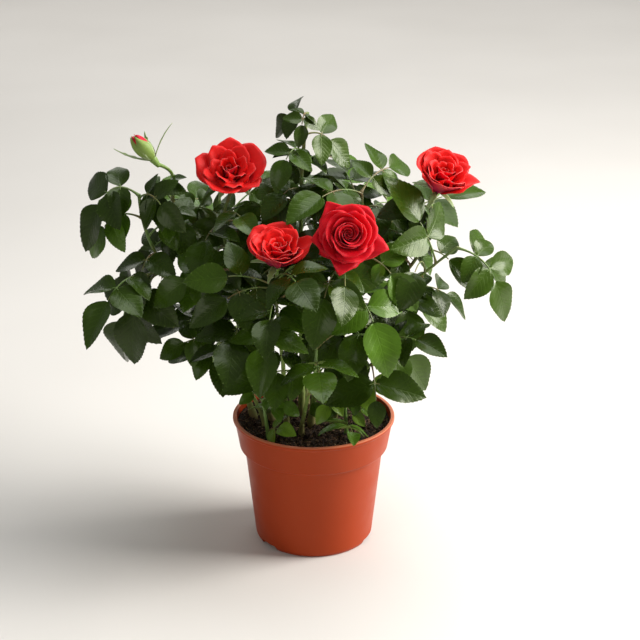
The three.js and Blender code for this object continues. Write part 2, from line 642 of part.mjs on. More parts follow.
function touches(piece, others) {
  const box = piece.boundingBox();
  return others.some(
    (other) =>
      [0, 1, 2].every((i) => box.min[i] <= other.box.max[i] && other.box.min[i] <= box.max[i]) &&
      !piece.intersect(other.solid).isEmpty(),
  );
}

function growShoot(curve, shoot, others) {
  const blades = [];
  for (const ways of shootPlan(curve, shoot)) {
    let most = [];
    for (const { blades: planned, end } of ways) {
      const near = [...others, ...blades];
      if (touches(leafletSolid(end, LEAF.clearance), near)) continue;
      const free = planned.filter((blade) => !touches(leafletSolid(blade, LEAF.clearance), near));
      if (free.length + 1 > most.length) most = [end, ...free];
      if (free.length === planned.length) break;
    }
    blades.push(...most.map((blade) => held(leafletSolid(blade))));
  }
  return blades;
}

const bush = new THREE.Group();
const pot = potSolid();
const soil = soilSolid();
bush.add(meshOf("pot", pot, TERRACOTTA), meshOf("soil", soil, PEAT));

const inPlace = { pot: held(pot), soil: held(soil) };
for (const [name, { solid }] of Object.entries(limbSolids)) {
  inPlace[name] = held(solid);
  bush.add(meshOf(name, solid, CANE_GREEN));
}
for (const [name, bloom] of Object.entries(BLOOMS)) {
  inPlace[name] = held(bloomSolid(bloom));
  bush.add(meshOf(name, inPlace[name].solid, PETAL_RED));
}
inPlace.flower_bud = held(budSolid(BUD));
bush.add(meshOf("flower_bud", inPlace.flower_bud.solid, GREEN));

const allShoots = { ...SHOOTS, ...BASAL_SHOOTS };
const stems = {};
for (const [name, shoot] of Object.entries(allShoots)) {
  const curve = stemCurve(shoot);
  const startRadius = shoot.limb ? limbSolids[shoot.limb].endRadius : 1.6;
  const endRadius = shoot.limb ? HIP.stalkRadius : 0.8;
  const radiusAt = (share) => startRadius + (endRadius - startRadius) * share;
  stems[name] = { curve, ...held(taperedLimb(curve, radiusAt, SHOOT_SIDES, SHOOT_STEPS, !shoot.limb)) };
}
for (const [name, shoot] of Object.entries(allShoots)) {
  const others = Object.values(inPlace);
  for (const [other, stem] of Object.entries(stems)) if (other !== name && !inPlace[other]) others.push(stem);
  const blades = growShoot(stems[name].curve, shoot, others);
  inPlace[name] = held(
    wholeBody(wasm.Manifold.union([stems[name].solid, ...blades.map((blade) => blade.solid)])),
  );
  bush.add(meshOf(name, inPlace[name].solid, GREEN));
}

export default bush;
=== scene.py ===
# A potted miniature rose in flower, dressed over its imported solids.
# Metres, +Z up. The origin is the middle of the pot's flat underside, and the showing side faces -Y.

import math

import bmesh
import bpy
import numpy as np
from mathutils import Matrix, Quaternion, Vector, noise
from mathutils.bvhtree import BVHTree


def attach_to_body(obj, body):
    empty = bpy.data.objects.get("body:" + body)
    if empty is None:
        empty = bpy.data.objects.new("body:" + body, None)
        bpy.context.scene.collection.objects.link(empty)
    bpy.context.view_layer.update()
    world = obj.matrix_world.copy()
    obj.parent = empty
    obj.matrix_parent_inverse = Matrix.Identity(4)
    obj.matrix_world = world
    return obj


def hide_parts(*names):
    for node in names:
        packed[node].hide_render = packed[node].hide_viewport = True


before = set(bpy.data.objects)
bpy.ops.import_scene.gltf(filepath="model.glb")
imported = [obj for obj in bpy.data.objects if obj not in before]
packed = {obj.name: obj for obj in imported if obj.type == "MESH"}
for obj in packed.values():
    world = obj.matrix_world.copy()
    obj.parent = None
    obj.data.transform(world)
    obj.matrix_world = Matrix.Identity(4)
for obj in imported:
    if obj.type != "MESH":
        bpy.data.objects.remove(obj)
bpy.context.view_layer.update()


# The nursery pot: a thin shell of moulded terracotta-coloured plastic with a rolled lip, a deep collar,
# a tapered wall and three low notches in its foot. It stands by itself, and the whole plant grows in it.

MM = 0.001
POT_HEIGHT = 97
RIM_RADIUS = 60
FOOT_RADIUS = 43.8
POT_WALL = 1.5
POT_SIDES = 144
COLLAR_HEIGHT = 24.5
COLLAR_TOP_RADIUS = RIM_RADIUS - 1.5
COLLAR_BOTTOM_RADIUS = RIM_RADIUS - 4.8
BODY_TOP_RADIUS = FOOT_RADIUS + 8
FLOOR_TOP = 6
NOTCH_AZIMUTHS = (-141, -21, 99)
NOTCH_SIZE = Vector((8, 17, 7.2))
NOTCH_EASE = 1.4
DRAIN_RADIUS = 3.2
DRAIN_FROM_AXIS = 27
POT_PLASTIC = (0.365, 0.041, 0.006, 1)
POT_PLASTIC_WORN = (0.33, 0.039, 0.008, 1)
# The lip's paler colour is a painted highlight along its top edge.
POT_LIP_PAINTED_HIGHLIGHT = (0.58, 0.17, 0.085, 1)


def shares(steps):
    """Even shares from 0 to 1, both ends included."""
    return [step / steps for step in range(steps + 1)]


def eased_outline(*corners, arc_steps=5):
    """The points of a turned outline (radius, height), whose corners are eased by the third number."""
    points = []
    for i, (radius, height, ease) in enumerate(corners):
        corner = Vector((radius, height))
        if ease == 0:
            points.append(corner)
            continue
        arriving = (Vector(corners[i - 1][:2]) - corner).normalized() * ease
        leaving = (Vector(corners[i + 1][:2]) - corner).normalized() * ease
        for share in shares(arc_steps):
            points.append(corner + arriving * (1 - share) ** 2 + leaving * share**2)
    return points


def plain_mesh(name, shape):
    mesh = bpy.data.meshes.new(name)
    shape.to_mesh(mesh)
    shape.free()
    return mesh


def mesh_of(name, shape):
    """A plain mesh of a closed shape, with every face looking outwards."""
    bmesh.ops.recalc_face_normals(shape, faces=shape.faces)
    return plain_mesh(name, shape)


def ring_mesh(name, rings, bottom, top):
    """A closed mesh about the axis: rings of (radius, height) in millimetres, and a point at either end."""
    shape = bmesh.new()
    foot = shape.verts.new((0, 0, bottom * MM))
    head = shape.verts.new((0, 0, top * MM))
    sides = len(rings[0])
    circles = []
    for ring in rings:
        circle = []
        for k, (radius, height) in enumerate(ring):
            angle = 2 * math.pi * k / sides
            at = (radius * math.cos(angle) * MM, radius * math.sin(angle) * MM, height * MM)
            circle.append(shape.verts.new(at))
        circles.append(circle)
    for k in range(sides):
        after = (k + 1) % sides
        shape.faces.new((foot, circles[0][after], circles[0][k]))
        shape.faces.new((head, circles[-1][k], circles[-1][after]))
        for lower, upper in zip(circles, circles[1:]):
            shape.faces.new((lower[k], lower[after], upper[after], upper[k]))
    return mesh_of(name, shape)


def turned_mesh(name, outline, sides):
    """A closed mesh turned from an outline that starts and ends on the axis."""
    rings = [[(point.x, point.y)] * sides for point in outline[1:-1]]
    return ring_mesh(name, rings, outline[0].y, outline[-1].y)


def piece_of(name, mesh, finish=None):
    """A new object on the scene's collection, with its place in its mesh."""
    made = bpy.data.objects.new(name, mesh)
    bpy.context.scene.collection.objects.link(made)
    if finish is not None:
        mesh.materials.clear()
        mesh.materials.append(finish)
    return made


def settled_mesh(made):
    """A plain mesh of an object with its modifiers applied."""
    bpy.context.view_layer.update()
    graph = bpy.context.evaluated_depsgraph_get()
    return bpy.data.meshes.new_from_object(
        made.evaluated_get(graph), preserve_all_data_layers=True, depsgraph=graph
    )


def give(tree, socket, value):
    """Sets an input of a node to a plain value, or links another node's output to it."""
    if isinstance(value, bpy.types.NodeSocket):
        tree.links.new(value, socket)
    else:
        socket.default_value = value


def set_inputs(tree, node, **values):
    for key, value in values.items():
        give(tree, node.inputs[key.replace("_", " ")], value)


def add_node(tree, kind, *values, **settings):
    """Adds a node and returns its output. The values are for its inputs in order.

    Settings name a property of the node or, with a capital, one of its inputs.
    """
    made = tree.nodes.new(kind)
    for key, value in settings.items():
        if key[0].islower():
            setattr(made, key, value)
    for socket, value in zip([socket for socket in made.inputs if socket.enabled], values):
        give(tree, socket, value)
    set_inputs(tree, made, **{key: value for key, value in settings.items() if key[0].isupper()})
    return next(socket for socket in made.outputs if socket.enabled)


def new_finish(name, roughness, specular=0.5, **settings):
    """A node material, its node tree, and its Principled shader with the given inputs set."""
    finish = bpy.data.materials.new(name)
    finish.use_nodes = True
    tree = finish.node_tree
    shader = tree.nodes["Principled BSDF"]
    set_inputs(tree, shader, Roughness=roughness, Specular_IOR_Level=specular, **settings)
    return finish, tree, shader


def object_place(tree):
    return add_node(tree, "ShaderNodeTexCoord").node.outputs["Object"]


def axis_of(tree, vector, axis):
    return add_node(tree, "ShaderNodeSeparateXYZ", vector).node.outputs[axis]


def maths(tree, operation, *values, **settings):
    return add_node(tree, "ShaderNodeMath", *values, operation=operation, **settings)


def ranged(tree, value, low, high, start=0.0, end=1.0):
    """Goes from start to end as the value goes from low to high, and no further."""
    return add_node(tree, "ShaderNodeMapRange", value, low, high, start, end)


def noise_over(tree, place, scale, detail, **settings):
    return add_node(tree, "ShaderNodeTexNoise", place, scale, detail, **settings)


def stretched_place(tree, place, scale):
    return add_node(tree, "ShaderNodeMapping", place, Scale=scale)


def patches(tree, place, scale, low, high, detail=3):
    """Soft patches from 0 to 1 made of noise over the given coordinates."""
    return ranged(tree, noise_over(tree, place, scale, detail), low, high)


def blended_colour(tree, share, first, second):
    """A colour that runs from first to second as share goes from 0 to 1."""
    return add_node(tree, "ShaderNodeMix", share, first, second, data_type="RGBA")


def toned(colour, tone):
    return tuple(tone * part for part in colour[:3]) + (1,)


def add_relief(tree, shader, height, strength, distance):
    relief = add_node(tree, "ShaderNodeBump", Strength=strength, Distance=distance, Height=height)
    set_inputs(tree, shader, Normal=relief)


def pot_plastic_finish():
    """Satin plastic: faint flow marks down the wall, a fine grain, dull patches, and a paler lip that is a
    painted highlight along its top edge.
    """
    finish, tree, shader = new_finish(
        "moulded_terracotta_plastic", roughness=0.4, specular=0.22, Specular_Tint=(1.0, 0.84, 0.68, 1)
    )
    place = object_place(tree)
    flow_marks = patches(tree, stretched_place(tree, place, (1, 1, 0.25)), 26, 0.42, 0.74)
    colour = blended_colour(tree, flow_marks, POT_PLASTIC, POT_PLASTIC_WORN)
    # The paler lip is a painted highlight: a pale band along the top edge where the light catches it.
    lip_highlight = ranged(tree, axis_of(tree, place, "Z"), (POT_HEIGHT - 0.9) * MM, (POT_HEIGHT - 0.2) * MM)
    dull = ranged(tree, patches(tree, place, 60, 0.3, 0.7), 0, 1, 0.36, 0.52)
    set_inputs(tree, shader, Base_Color=blended_colour(tree, lip_highlight, colour, POT_LIP_PAINTED_HIGHLIGHT), Roughness=dull)
    add_relief(tree, shader, noise_over(tree, place, 900, 2), strength=0.12, distance=0.0002)
    return finish


collar_foot = POT_HEIGHT - COLLAR_HEIGHT
pot_outline = eased_outline(
    (0, 0, 0),
    (FOOT_RADIUS - 9, 0, 0),
    (FOOT_RADIUS - 1.6, 0, 0.8),
    (FOOT_RADIUS, 2.4, 1.5),
    (BODY_TOP_RADIUS - 0.6, collar_foot - 2.5, 0),
    (BODY_TOP_RADIUS, collar_foot - 0.6, 1.2),
    (COLLAR_BOTTOM_RADIUS - 0.2, collar_foot + 0.9, 1.0),
    (COLLAR_TOP_RADIUS, POT_HEIGHT - 3.2, 0.8),
    (RIM_RADIUS, POT_HEIGHT - 2.2, 0.7),
    (RIM_RADIUS - 0.1, POT_HEIGHT, 0.7),
    (COLLAR_TOP_RADIUS - POT_WALL + 0.1, POT_HEIGHT, 0.6),
    (COLLAR_BOTTOM_RADIUS - POT_WALL, collar_foot + 1.2, 0.8),
    (BODY_TOP_RADIUS - POT_WALL, collar_foot - 1, 0.8),
    (FOOT_RADIUS - POT_WALL, FLOOR_TOP, 0.6),
    (0, FLOOR_TOP, 0),
)
pot_mesh = turned_mesh("nursery_pot", pot_outline, POT_SIDES)
nursery_pot = piece_of("nursery_pot", pot_mesh, pot_plastic_finish())

cutters = bmesh.new()
for azimuth in NOTCH_AZIMUTHS:
    notch = bmesh.ops.create_cube(cutters, size=1)["verts"]
    bmesh.ops.scale(cutters, verts=notch, vec=NOTCH_SIZE * MM)
    bmesh.ops.translate(cutters, verts=notch, vec=((FOOT_RADIUS - 2.5) * MM, 0, 0))
    turn = Quaternion((0, 0, 1), math.radians(azimuth)).to_matrix()
    bmesh.ops.rotate(cutters, verts=notch, cent=(0, 0, 0), matrix=turn)
bmesh.ops.bevel(
    cutters, geom=cutters.edges[:], offset=NOTCH_EASE * MM, segments=3, affect="EDGES", profile=0.5
)
for k in range(3):
    radius = DRAIN_RADIUS * MM
    drain = bmesh.ops.create_cone(
        cutters, cap_ends=True, segments=28, radius1=radius, radius2=radius, depth=30 * MM
    )["verts"]
    angle = 2 * math.pi * (k + 0.5) / 3
    reach = DRAIN_FROM_AXIS * MM
    bmesh.ops.translate(cutters, verts=drain, vec=(reach * math.cos(angle), reach * math.sin(angle), 0))
cutter = piece_of("pot_cutters", plain_mesh("pot_cutters", cutters))
cut = nursery_pot.modifiers.new("notches", "BOOLEAN")
cut.operation = "DIFFERENCE"
cut.solver = "EXACT"
cut.object = cutter
cut_mesh = settled_mesh(nursery_pot)
nursery_pot.modifiers.clear()
nursery_pot.data = cut_mesh
bpy.data.objects.remove(cutter)
nursery_pot.data.shade_smooth()
nursery_pot.data.set_sharp_from_angle(angle=math.radians(38))
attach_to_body(nursery_pot, "root")
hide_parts("pot")


# The compost: dark peat with bark fines, watered and settled to a few millimetres under the pot's lip.
# It is one lumpy bed with loose crumbs, pale chips and root fibres lying on it, and it holds the canes.

SOIL_TOP = POT_HEIGHT - 6
SOIL_EDGE_DROP = -2
SOIL_CROWN_RADIUS = 42
BED_SIDES = 150
BED_RINGS = 44
BED_FOOT = FLOOR_TOP + 0.3
LEVEL_ENOUGH = 0.35
PEAT = (0.026, 0.015, 0.009, 1)
PEAT_BROWN = (0.18, 0.10, 0.052, 1)
CHIP_DARK = (0.25, 0.15, 0.08, 1)
CHIP = (0.66, 0.48, 0.30, 1)
FIBRE_DARK = (0.20, 0.12, 0.06, 1)
FIBRE = (0.40, 0.25, 0.12, 1)


def peat_finish(name, dark, light, scale):
    """Damp peat: near black with brown specks, rough, with a fine crumb in its relief."""
    finish, tree, shader = new_finish(name, roughness=0.86, specular=0.3)
    place = object_place(tree)
    speckle = patches(tree, place, scale, 0.5, 0.68, 6)
    set_inputs(tree, shader, Base_Color=blended_colour(tree, speckle, dark, light))
    crumb = noise_over(tree, place, scale * 2.2, 8, Roughness=0.7)
    add_relief(tree, shader, crumb, strength=0.9, distance=0.0012)
    return finish


def lump(radius, azimuth):
    """How far the bed rises or falls from its even level, in millimetres."""
    at = Vector((radius * math.cos(azimuth), radius * math.sin(azimuth), 0))
    broad = noise.noise(at * 0.075 + Vector((4, 9, 2)))
    clods = noise.turbulence(at * 0.2 + Vector((1, 5, 3)), 4, False)
    return 1.7 * broad + 2.6 * (clods - 0.62)


edge_height = SOIL_TOP - SOIL_EDGE_DROP
wall_slope = (COLLAR_TOP_RADIUS - COLLAR_BOTTOM_RADIUS) / (COLLAR_HEIGHT - 1.2)
inset = POT_WALL + 0.5
bed_edge = COLLAR_BOTTOM_RADIUS - inset + wall_slope * (edge_height - collar_foot - 1.2)
bed_rings = [
    [(FOOT_RADIUS - inset, BED_FOOT)] * BED_SIDES,
    [(BODY_TOP_RADIUS - inset, collar_foot - 1)] * BED_SIDES,
    [(COLLAR_BOTTOM_RADIUS - inset, collar_foot + 1.4)] * BED_SIDES,
]
for step in range(BED_RINGS):
    radius = bed_edge * (1 - step / BED_RINGS)
    fall = SOIL_EDGE_DROP * max(0, (radius - SOIL_CROWN_RADIUS) / (bed_edge - SOIL_CROWN_RADIUS))
    calm = min(1, 0.25 + step / 4)
    ring = []
    for k in range(BED_SIDES):
        ring.append((radius, SOIL_TOP - fall + calm * lump(radius, 2 * math.pi * k / BED_SIDES)))
    bed_rings.append(ring)
compost = piece_of(
    "compost",
    ring_mesh("compost", bed_rings, BED_FOOT, SOIL_TOP + lump(0, 0)),
    peat_finish("damp_peat", PEAT, PEAT_BROWN, 420),
)
compost.data.shade_smooth()
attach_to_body(compost, "root")
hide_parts("soil")


def loose_bit(name, reach, corners, seed):
    """A small rough lump: the hull of a few points that lie within reach of its middle, in millimetres."""
    draw = np.random.default_rng(seed)
    shape = bmesh.new()
    for _ in range(corners):
        ray = Vector(draw.normal(size=3)).normalized() * (0.75 + 0.25 * draw.random())
        shape.verts.new((ray.x * reach[0] * MM, ray.y * reach[1] * MM, ray.z * reach[2] * MM))
    hull = bmesh.ops.convex_hull(shape, input=shape.verts)
    bmesh.ops.delete(shape, geom=hull["geom_interior"], context="VERTS")
    return mesh_of(name, shape)


def fibre_bit(name, length, girth, seed):
    """A bent three-sided root fibre in millimetres, lying along X."""
    draw = np.random.default_rng(seed)
    bends = draw.normal(size=(2, 3)) * 0.22
    shape = bmesh.new()
    rings = []
    for share in shares(5):
        wave = math.sin(math.pi * share)
        middle = Vector(
            (length * (share - 0.5), length * bends[0][1] * wave, length * bends[0][2] * 0.4 * wave)
        )
        middle.y += length * bends[1][1] * math.sin(2 * math.pi * share) * 0.5
        ring = []
        for k in range(3):
            angle = 2 * math.pi * k / 3
            reach = girth * (1 - 0.6 * share)
            offset = Vector((0, reach * math.cos(angle), reach * math.sin(angle)))
            ring.append(shape.verts.new((middle + offset) * MM))
        rings.append(ring)
    for lower, upper in zip(rings, rings[1:]):
        for k in range(3):
            after = (k + 1) % 3
            shape.faces.new((lower[k], lower[after], upper[after], upper[k]))
    shape.faces.new(rings[0])
    shape.faces.new(rings[-1])
    return mesh_of(name, shape)


def bits_collection(name, meshes):
    """A collection, off the scene, of the shapes that Geometry Nodes strew or grow."""
    group = bpy.data.collections.new(name)
    for mesh in meshes:
        group.objects.link(bpy.data.objects.new(mesh.name, mesh))
    return group


def new_tree(name, **inputs):
    """An empty Geometry Nodes tree with the named inputs: the tree, what it is given and its result."""
    tree = bpy.data.node_groups.new(name, "GeometryNodeTree")
    for label, kind in {"Geometry": "Geometry", **inputs}.items():
        label = label.replace("_", " ")
        tree.interface.new_socket(label, in_out="INPUT", socket_type="NodeSocket" + kind)
    tree.interface.new_socket("Geometry", in_out="OUTPUT", socket_type="NodeSocketGeometry")
    given = tree.nodes.new("NodeGroupInput").outputs
    result = tree.nodes.new("NodeGroupOutput").inputs["Geometry"]
    return tree, given, result


def grown_by(base, tree, settings, name):
    """Runs a tree on an object with the settings given by socket name, and returns the plain result."""
    modifier = base.modifiers.new(tree.name, "NODES")
    modifier.node_group = tree
    for item in tree.interface.items_tree:
        if item.in_out == "INPUT" and item.name in settings:
            modifier[item.identifier] = settings[item.name]
    base.update_tag()
    mesh = settled_mesh(base)
    base.modifiers.remove(modifier)
    mesh.name = name
    return piece_of(name, mesh)


def painted(tree, geometry, finish, **settings):
    return add_node(tree, "GeometryNodeSetMaterial", geometry, Material=finish, **settings)


def strewing_tree():
    """Strews a collection's shapes over the level faces of a bed, each turned and sized by a seed."""
    tree, given, result = new_tree(
        "strewn_bits",
        Bits="Collection",
        How_many_per_square_metre="Float",
        Smallest="Float",
        Largest="Float",
        Steepest_turn="Float",
        Reach="Float",
        Finish="Material",
        Seed="Int",
    )
    rise = axis_of(tree, add_node(tree, "GeometryNodeInputNormal"), "Z")
    level = add_node(tree, "FunctionNodeCompare", rise, LEVEL_ENOUGH, operation="GREATER_THAN")
    place = add_node(tree, "GeometryNodeInputPosition")
    flat_place = add_node(tree, "ShaderNodeVectorMath", place, (1, 1, 0), operation="MULTIPLY")
    from_axis = add_node(tree, "ShaderNodeVectorMath", flat_place, operation="LENGTH")
    inside = add_node(tree, "FunctionNodeCompare", from_axis, given["Reach"], operation="LESS_THAN")
    spots = add_node(
        tree,
        "GeometryNodeDistributePointsOnFaces",
        Mesh=given["Geometry"],
        Selection=add_node(tree, "FunctionNodeBooleanMath", level, inside),
        Density=given["How many per square metre"],
        Seed=given["Seed"],
    )
    steepest = given["Steepest turn"]
    turned_back = maths(tree, "MULTIPLY", steepest, -1)
    placed = add_node(
        tree,
        "GeometryNodeInstanceOnPoints",
        Points=spots,
        Instance=add_node(tree, "GeometryNodeCollectionInfo", given["Bits"], True, True),
        Pick_Instance=True,
        Rotation=add_node(
            tree,
            "FunctionNodeRandomValue",
            add_node(tree, "ShaderNodeCombineXYZ", turned_back, turned_back),
            add_node(tree, "ShaderNodeCombineXYZ", steepest, steepest, 6.28),
            data_type="FLOAT_VECTOR",
            Seed=given["Seed"],
        ),
        Scale=add_node(
            tree,
            "FunctionNodeRandomValue",
            given["Smallest"],
            given["Largest"],
            data_type="FLOAT",
            Seed=given["Seed"],
        ),
    )
    whole = add_node(tree, "GeometryNodeRealizeInstances", placed)
    give(tree, result, painted(tree, whole, given["Finish"]))
    return tree


strewn = strewing_tree()
crumb_shapes = bits_collection(
    "crumb_shapes", [loose_bit(f"crumb_{k}", (1.25, 1.0, 0.8), 15, 30 + k) for k in range(6)]
)
chip_shapes = bits_collection(
    "chip_shapes", [loose_bit(f"chip_{k}", (1.5, 0.8, 0.35), 12, 60 + k) for k in range(5)]
)
fibre_shapes = bits_collection(
    "fibre_shapes", [fibre_bit(f"fibre_{k}", 6 + 1.4 * k, 0.16 + 0.03 * (k % 3), 80 + k) for k in range(6)]
)
# piece, shapes, how many per square metre, smallest, largest, steepest turn, gap to the wall, finish, seed
LOOSE_BITS = (
    ("compost_crumbs", crumb_shapes, 260000, 0.5, 1.5, 3.1, 2.4, ("peat_crumb", PEAT, PEAT_BROWN, 700), 3),
    ("compost_clods", crumb_shapes, 26000, 1.7, 3.1, 3.1, 4.6, ("peat_clod", PEAT, PEAT_BROWN, 500), 8),
    ("bark_chips", chip_shapes, 95000, 0.3, 1.05, 1.2, 2.4, ("bark_chip", CHIP_DARK, CHIP, 260), 5),
    ("root_fibres", fibre_shapes, 26000, 0.4, 1.0, 0.45, 8.0, ("root_fibre", FIBRE_DARK, FIBRE, 300), 12),
)
for bit_name, shapes, density, smallest, largest, steepest, wall_gap, finish, seed in LOOSE_BITS:
    settings = {
        "Bits": shapes,
        "How many per square metre": float(density),
        "Smallest": smallest,
        "Largest": largest,
        "Steepest turn": steepest,
        "Reach": (COLLAR_TOP_RADIUS - POT_WALL - wall_gap) * MM,
        "Finish": peat_finish(*finish),
        "Seed": seed,
    }
    bits = grown_by(compost, strewn, settings, bit_name)
    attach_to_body(bits, "root")


# The canes and boughs: a clump of thin woody stems that rises from one rootstock under the compost.
# They are green wood with a brown, finely cracked skin near the foot, and carry a few small prickles.

CANE_BEND = (0.32, 0.58)
BOUGH_BEND = (0.55, 0.42)
GAP = 0.3
LIMB_TAPER = 0.6
ROOT_FLARE = 0.55
ROOT_FLARE_LENGTH = 0.07
CANE_STEPS = 44
SCARS_PER_LIMB = 6
PRICKLES_PER_LIMB = 7
BURIED_DEPTH = 3.5
WANDER = 0.7
# foot (x, y) or parent and share of its length, tip (x, y, z), radius at the foot
LIMBS = {
    "cane_left": ((-45, 9), (-101, -5, 208), 2.0),
    "cane_bud": ((-31, 4), (-88, 8, 228), 1.9),
    "cane_bloom_left": ((-23, 13), (-60, 4, 222), 2.1),
    "cane_top": ((-9, 15), (-9, 8, 248), 2.2),
    "cane_bloom_front": ((-20, -8), (-25, -42, 192), 1.9),
    "cane_bloom_centre": ((-2, -3), (17, -28, 204), 2.1),
    "cane_right": ((7, 8), (66, -8, 212), 2.2),
    "cane_low_right": ((14, -6), (40, -34, 150), 1.6),
    "cane_low_left": ((-36, -6), (-58, -13, 138), 1.6),
    "cane_front": ((-9, -20), (-2, -40, 134), 1.6),
    "cane_back_left": ((-24, 27), (-58, 48, 196), 2.0),
    "cane_back_right": ((8, 26), (46, 50, 200), 2.0),
    "cane_back": ((-6, 34), (-8, 62, 176), 1.9),
    "bough_left": (("cane_left", 0.93), (-110, -13, 212), 1.3),
    "bough_right_side": (("cane_right", 0.55), (54, 2, 172), 1.5),
    "bough_right_outer": (("cane_right", 0.8), (85, -18, 220), 1.5),
    "bough_centre": (("cane_top", 0.62), (22, 8, 224), 1.5),
    "bough_inner_left": (("cane_bud", 0.55), (-50, -18, 182), 1.4),
    "bough_back_low": (("cane_back_right", 0.3), (34, 52, 142), 1.4),
    "bough_back_side": (("cane_back_left", 0.35), (-52, 44, 140), 1.4),
}
BARK_BROWN = (0.170, 0.135, 0.048, 1)
BARK_GREEN = (0.215, 0.330, 0.070, 1)
BROWN_BELOW = 0.092
GREEN_ABOVE = 0.112
PRICKLE = (0.30, 0.115, 0.055, 1)


class Bend:
    """A quadratic curve through space, in millimetres."""

    def __init__(self, start, bend, end):
        self.start = Vector(start)
        self.bend = Vector(bend)
        self.end = Vector(end)

    def at(self, share):
        rest = 1 - share
        return self.start * rest * rest + self.bend * 2 * rest * share + self.end * share * share

    def tangent(self, share):
        rest = 1 - share
        return ((self.bend - self.start) * rest + (self.end - self.bend) * share).normalized()


limb_curves = {}
limb_girths = {}
for limb_name, (rooted, tip, radius) in LIMBS.items():
    from_cane = isinstance(rooted[0], str)
    spread, rise = BOUGH_BEND if from_cane else CANE_BEND
    start = limb_curves[rooted[0]].at(rooted[1]) if from_cane else Vector((*rooted, SOIL_TOP + GAP))
    across = Vector(tip) - start
    bend = start + Vector((across.x * spread, across.y * spread, across.z * rise))
    limb_curves[limb_name] = Bend(start, bend, tip)
    limb_girths[limb_name] = radius


def swelling(place, height, width):
    """A small swelling halfway through each unit of place, as on a stem at its leaf scars."""
    return 1 + height * math.exp(-(((place % 1 - 0.5) / width) ** 2))


def limb_girth(limb_name, share):
    """A limb's radius: it tapers to its end, flares at its foot, and swells a little at each leaf scar."""
    girth = limb_girths[limb_name] * (1 - (1 - LIMB_TAPER) * share)
    if limb_name.startswith("cane"):
        girth *= 1 + ROOT_FLARE * math.exp(-share / ROOT_FLARE_LENGTH)
    return girth * swelling(share * SCARS_PER_LIMB + 0.37 * len(limb_name), 0.16, 0.06)


def chain_mesh(name, chains):
    """Chains of points joined by edges, each point with its girth."""
    points = []
    edges = []
    girths = []
    for chain in chains:
        first = len(points)
        for at, girth in chain:
            points.append(tuple(at * MM))
            girths.append(girth * MM)
        edges.extend((first + k, first + k + 1) for k in range(len(chain) - 1))
    mesh = bpy.data.meshes.new(name)
    mesh.from_pydata(points, edges, [])
    mesh.attributes.new("girth", "FLOAT", "POINT").data.foreach_set("value", girths)
    return mesh


def named_value(tree, name, kind):
    return add_node(tree, "GeometryNodeInputNamedAttribute", name, data_type=kind)


def skin_tree():
    """Skins chains of points with a round hide of their girth, roughened by noise along its normals."""
    tree, given, result = new_tree(
        "stem_skin", Sides="Int", Relief="Float", Relief_scale="Float", Finish="Material"
    )
    girth = named_value(tree, "girth", "FLOAT")
    line = add_node(tree, "GeometryNodeMeshToCurve", given["Geometry"])
    thick = add_node(tree, "GeometryNodeSetCurveRadius", line, Radius=girth)
    ring = add_node(tree, "GeometryNodeCurvePrimitiveCircle", Resolution=given["Sides"], Radius=1)
    skin = add_node(tree, "GeometryNodeCurveToMesh", thick, ring, Scale=girth, Fill_Caps=True)
    rough = add_node(tree, "ShaderNodeTexNoise", Scale=given["Relief scale"], Detail=4)
    height = maths(tree, "MULTIPLY", maths(tree, "SUBTRACT", rough, 0.5), given["Relief"])
    normal = add_node(tree, "GeometryNodeInputNormal")
    push = add_node(tree, "ShaderNodeVectorMath", normal, height, operation="SCALE")
    moved = add_node(tree, "GeometryNodeSetPosition", skin, Offset=push)
    smooth = add_node(tree, "GeometryNodeSetShadeSmooth", moved)
    whole = add_node(tree, "GeometryNodeRealizeInstances", smooth)
    give(tree, result, painted(tree, whole, given["Finish"]))
    return tree


stem_skin = skin_tree()


def skinned(name, chains, sides, relief, relief_scale, finish):
    """A piece of joined round stems grown along chains of points."""
    line = piece_of(name + "_line", chain_mesh(name + "_line", chains))
    settings = {"Sides": sides, "Relief": relief * MM, "Relief scale": relief_scale, "Finish": finish}
    made = grown_by(line, stem_skin, settings, name)
    bpy.data.objects.remove(line)
    return made


def cane_bark_finish():
    """Green bark that turns brown and cracked towards the foot of the clump."""
    finish, tree, shader = new_finish("cane_bark", roughness=0.62, specular=0.35)
    place = object_place(tree)
    low = ranged(tree, axis_of(tree, place, "Z"), BROWN_BELOW, GREEN_ABOVE, 0.8, 0.0)
    mottle = patches(tree, place, 180, 0.36, 0.66, 5)
    browned = maths(tree, "MULTIPLY_ADD", mottle, 0.3, low, use_clamp=True)
    set_inputs(tree, shader, Base_Color=blended_colour(tree, browned, BARK_GREEN, BARK_BROWN))
    cracks = noise_over(tree, stretched_place(tree, place, (1, 1, 0.18)), 1500, 6)
    add_relief(tree, shader, cracks, strength=0.6, distance=0.0003)
    return finish


def square_to(direction):
    """Two directions square to a line, from whichever level axis lies less along it."""
    reference = Vector((1, 0, 0)) if abs(direction.x) < 0.75 else Vector((0, 1, 0))
    first = (reference - direction * reference.dot(direction)).normalized()
    return first, direction.cross(first)


def prickle_chain(line, share, girth, turn):
    """A small prickle, broad at its foot, that leans out and a little down from a stem."""
    along = line.tangent(share)
    first, second = square_to(along)
    out = first * math.cos(turn) + second * math.sin(turn)
    foot = line.at(share) + out * (girth * 0.7)
    return [
        (foot - out * 0.4 + along * 0.3, 0.85),
        (foot + out * 0.7, 0.5),
        (foot + out * 1.5 - along * 0.25, 0.24),
        (foot + out * 2.3 - along * 0.7, 0.05),
    ]


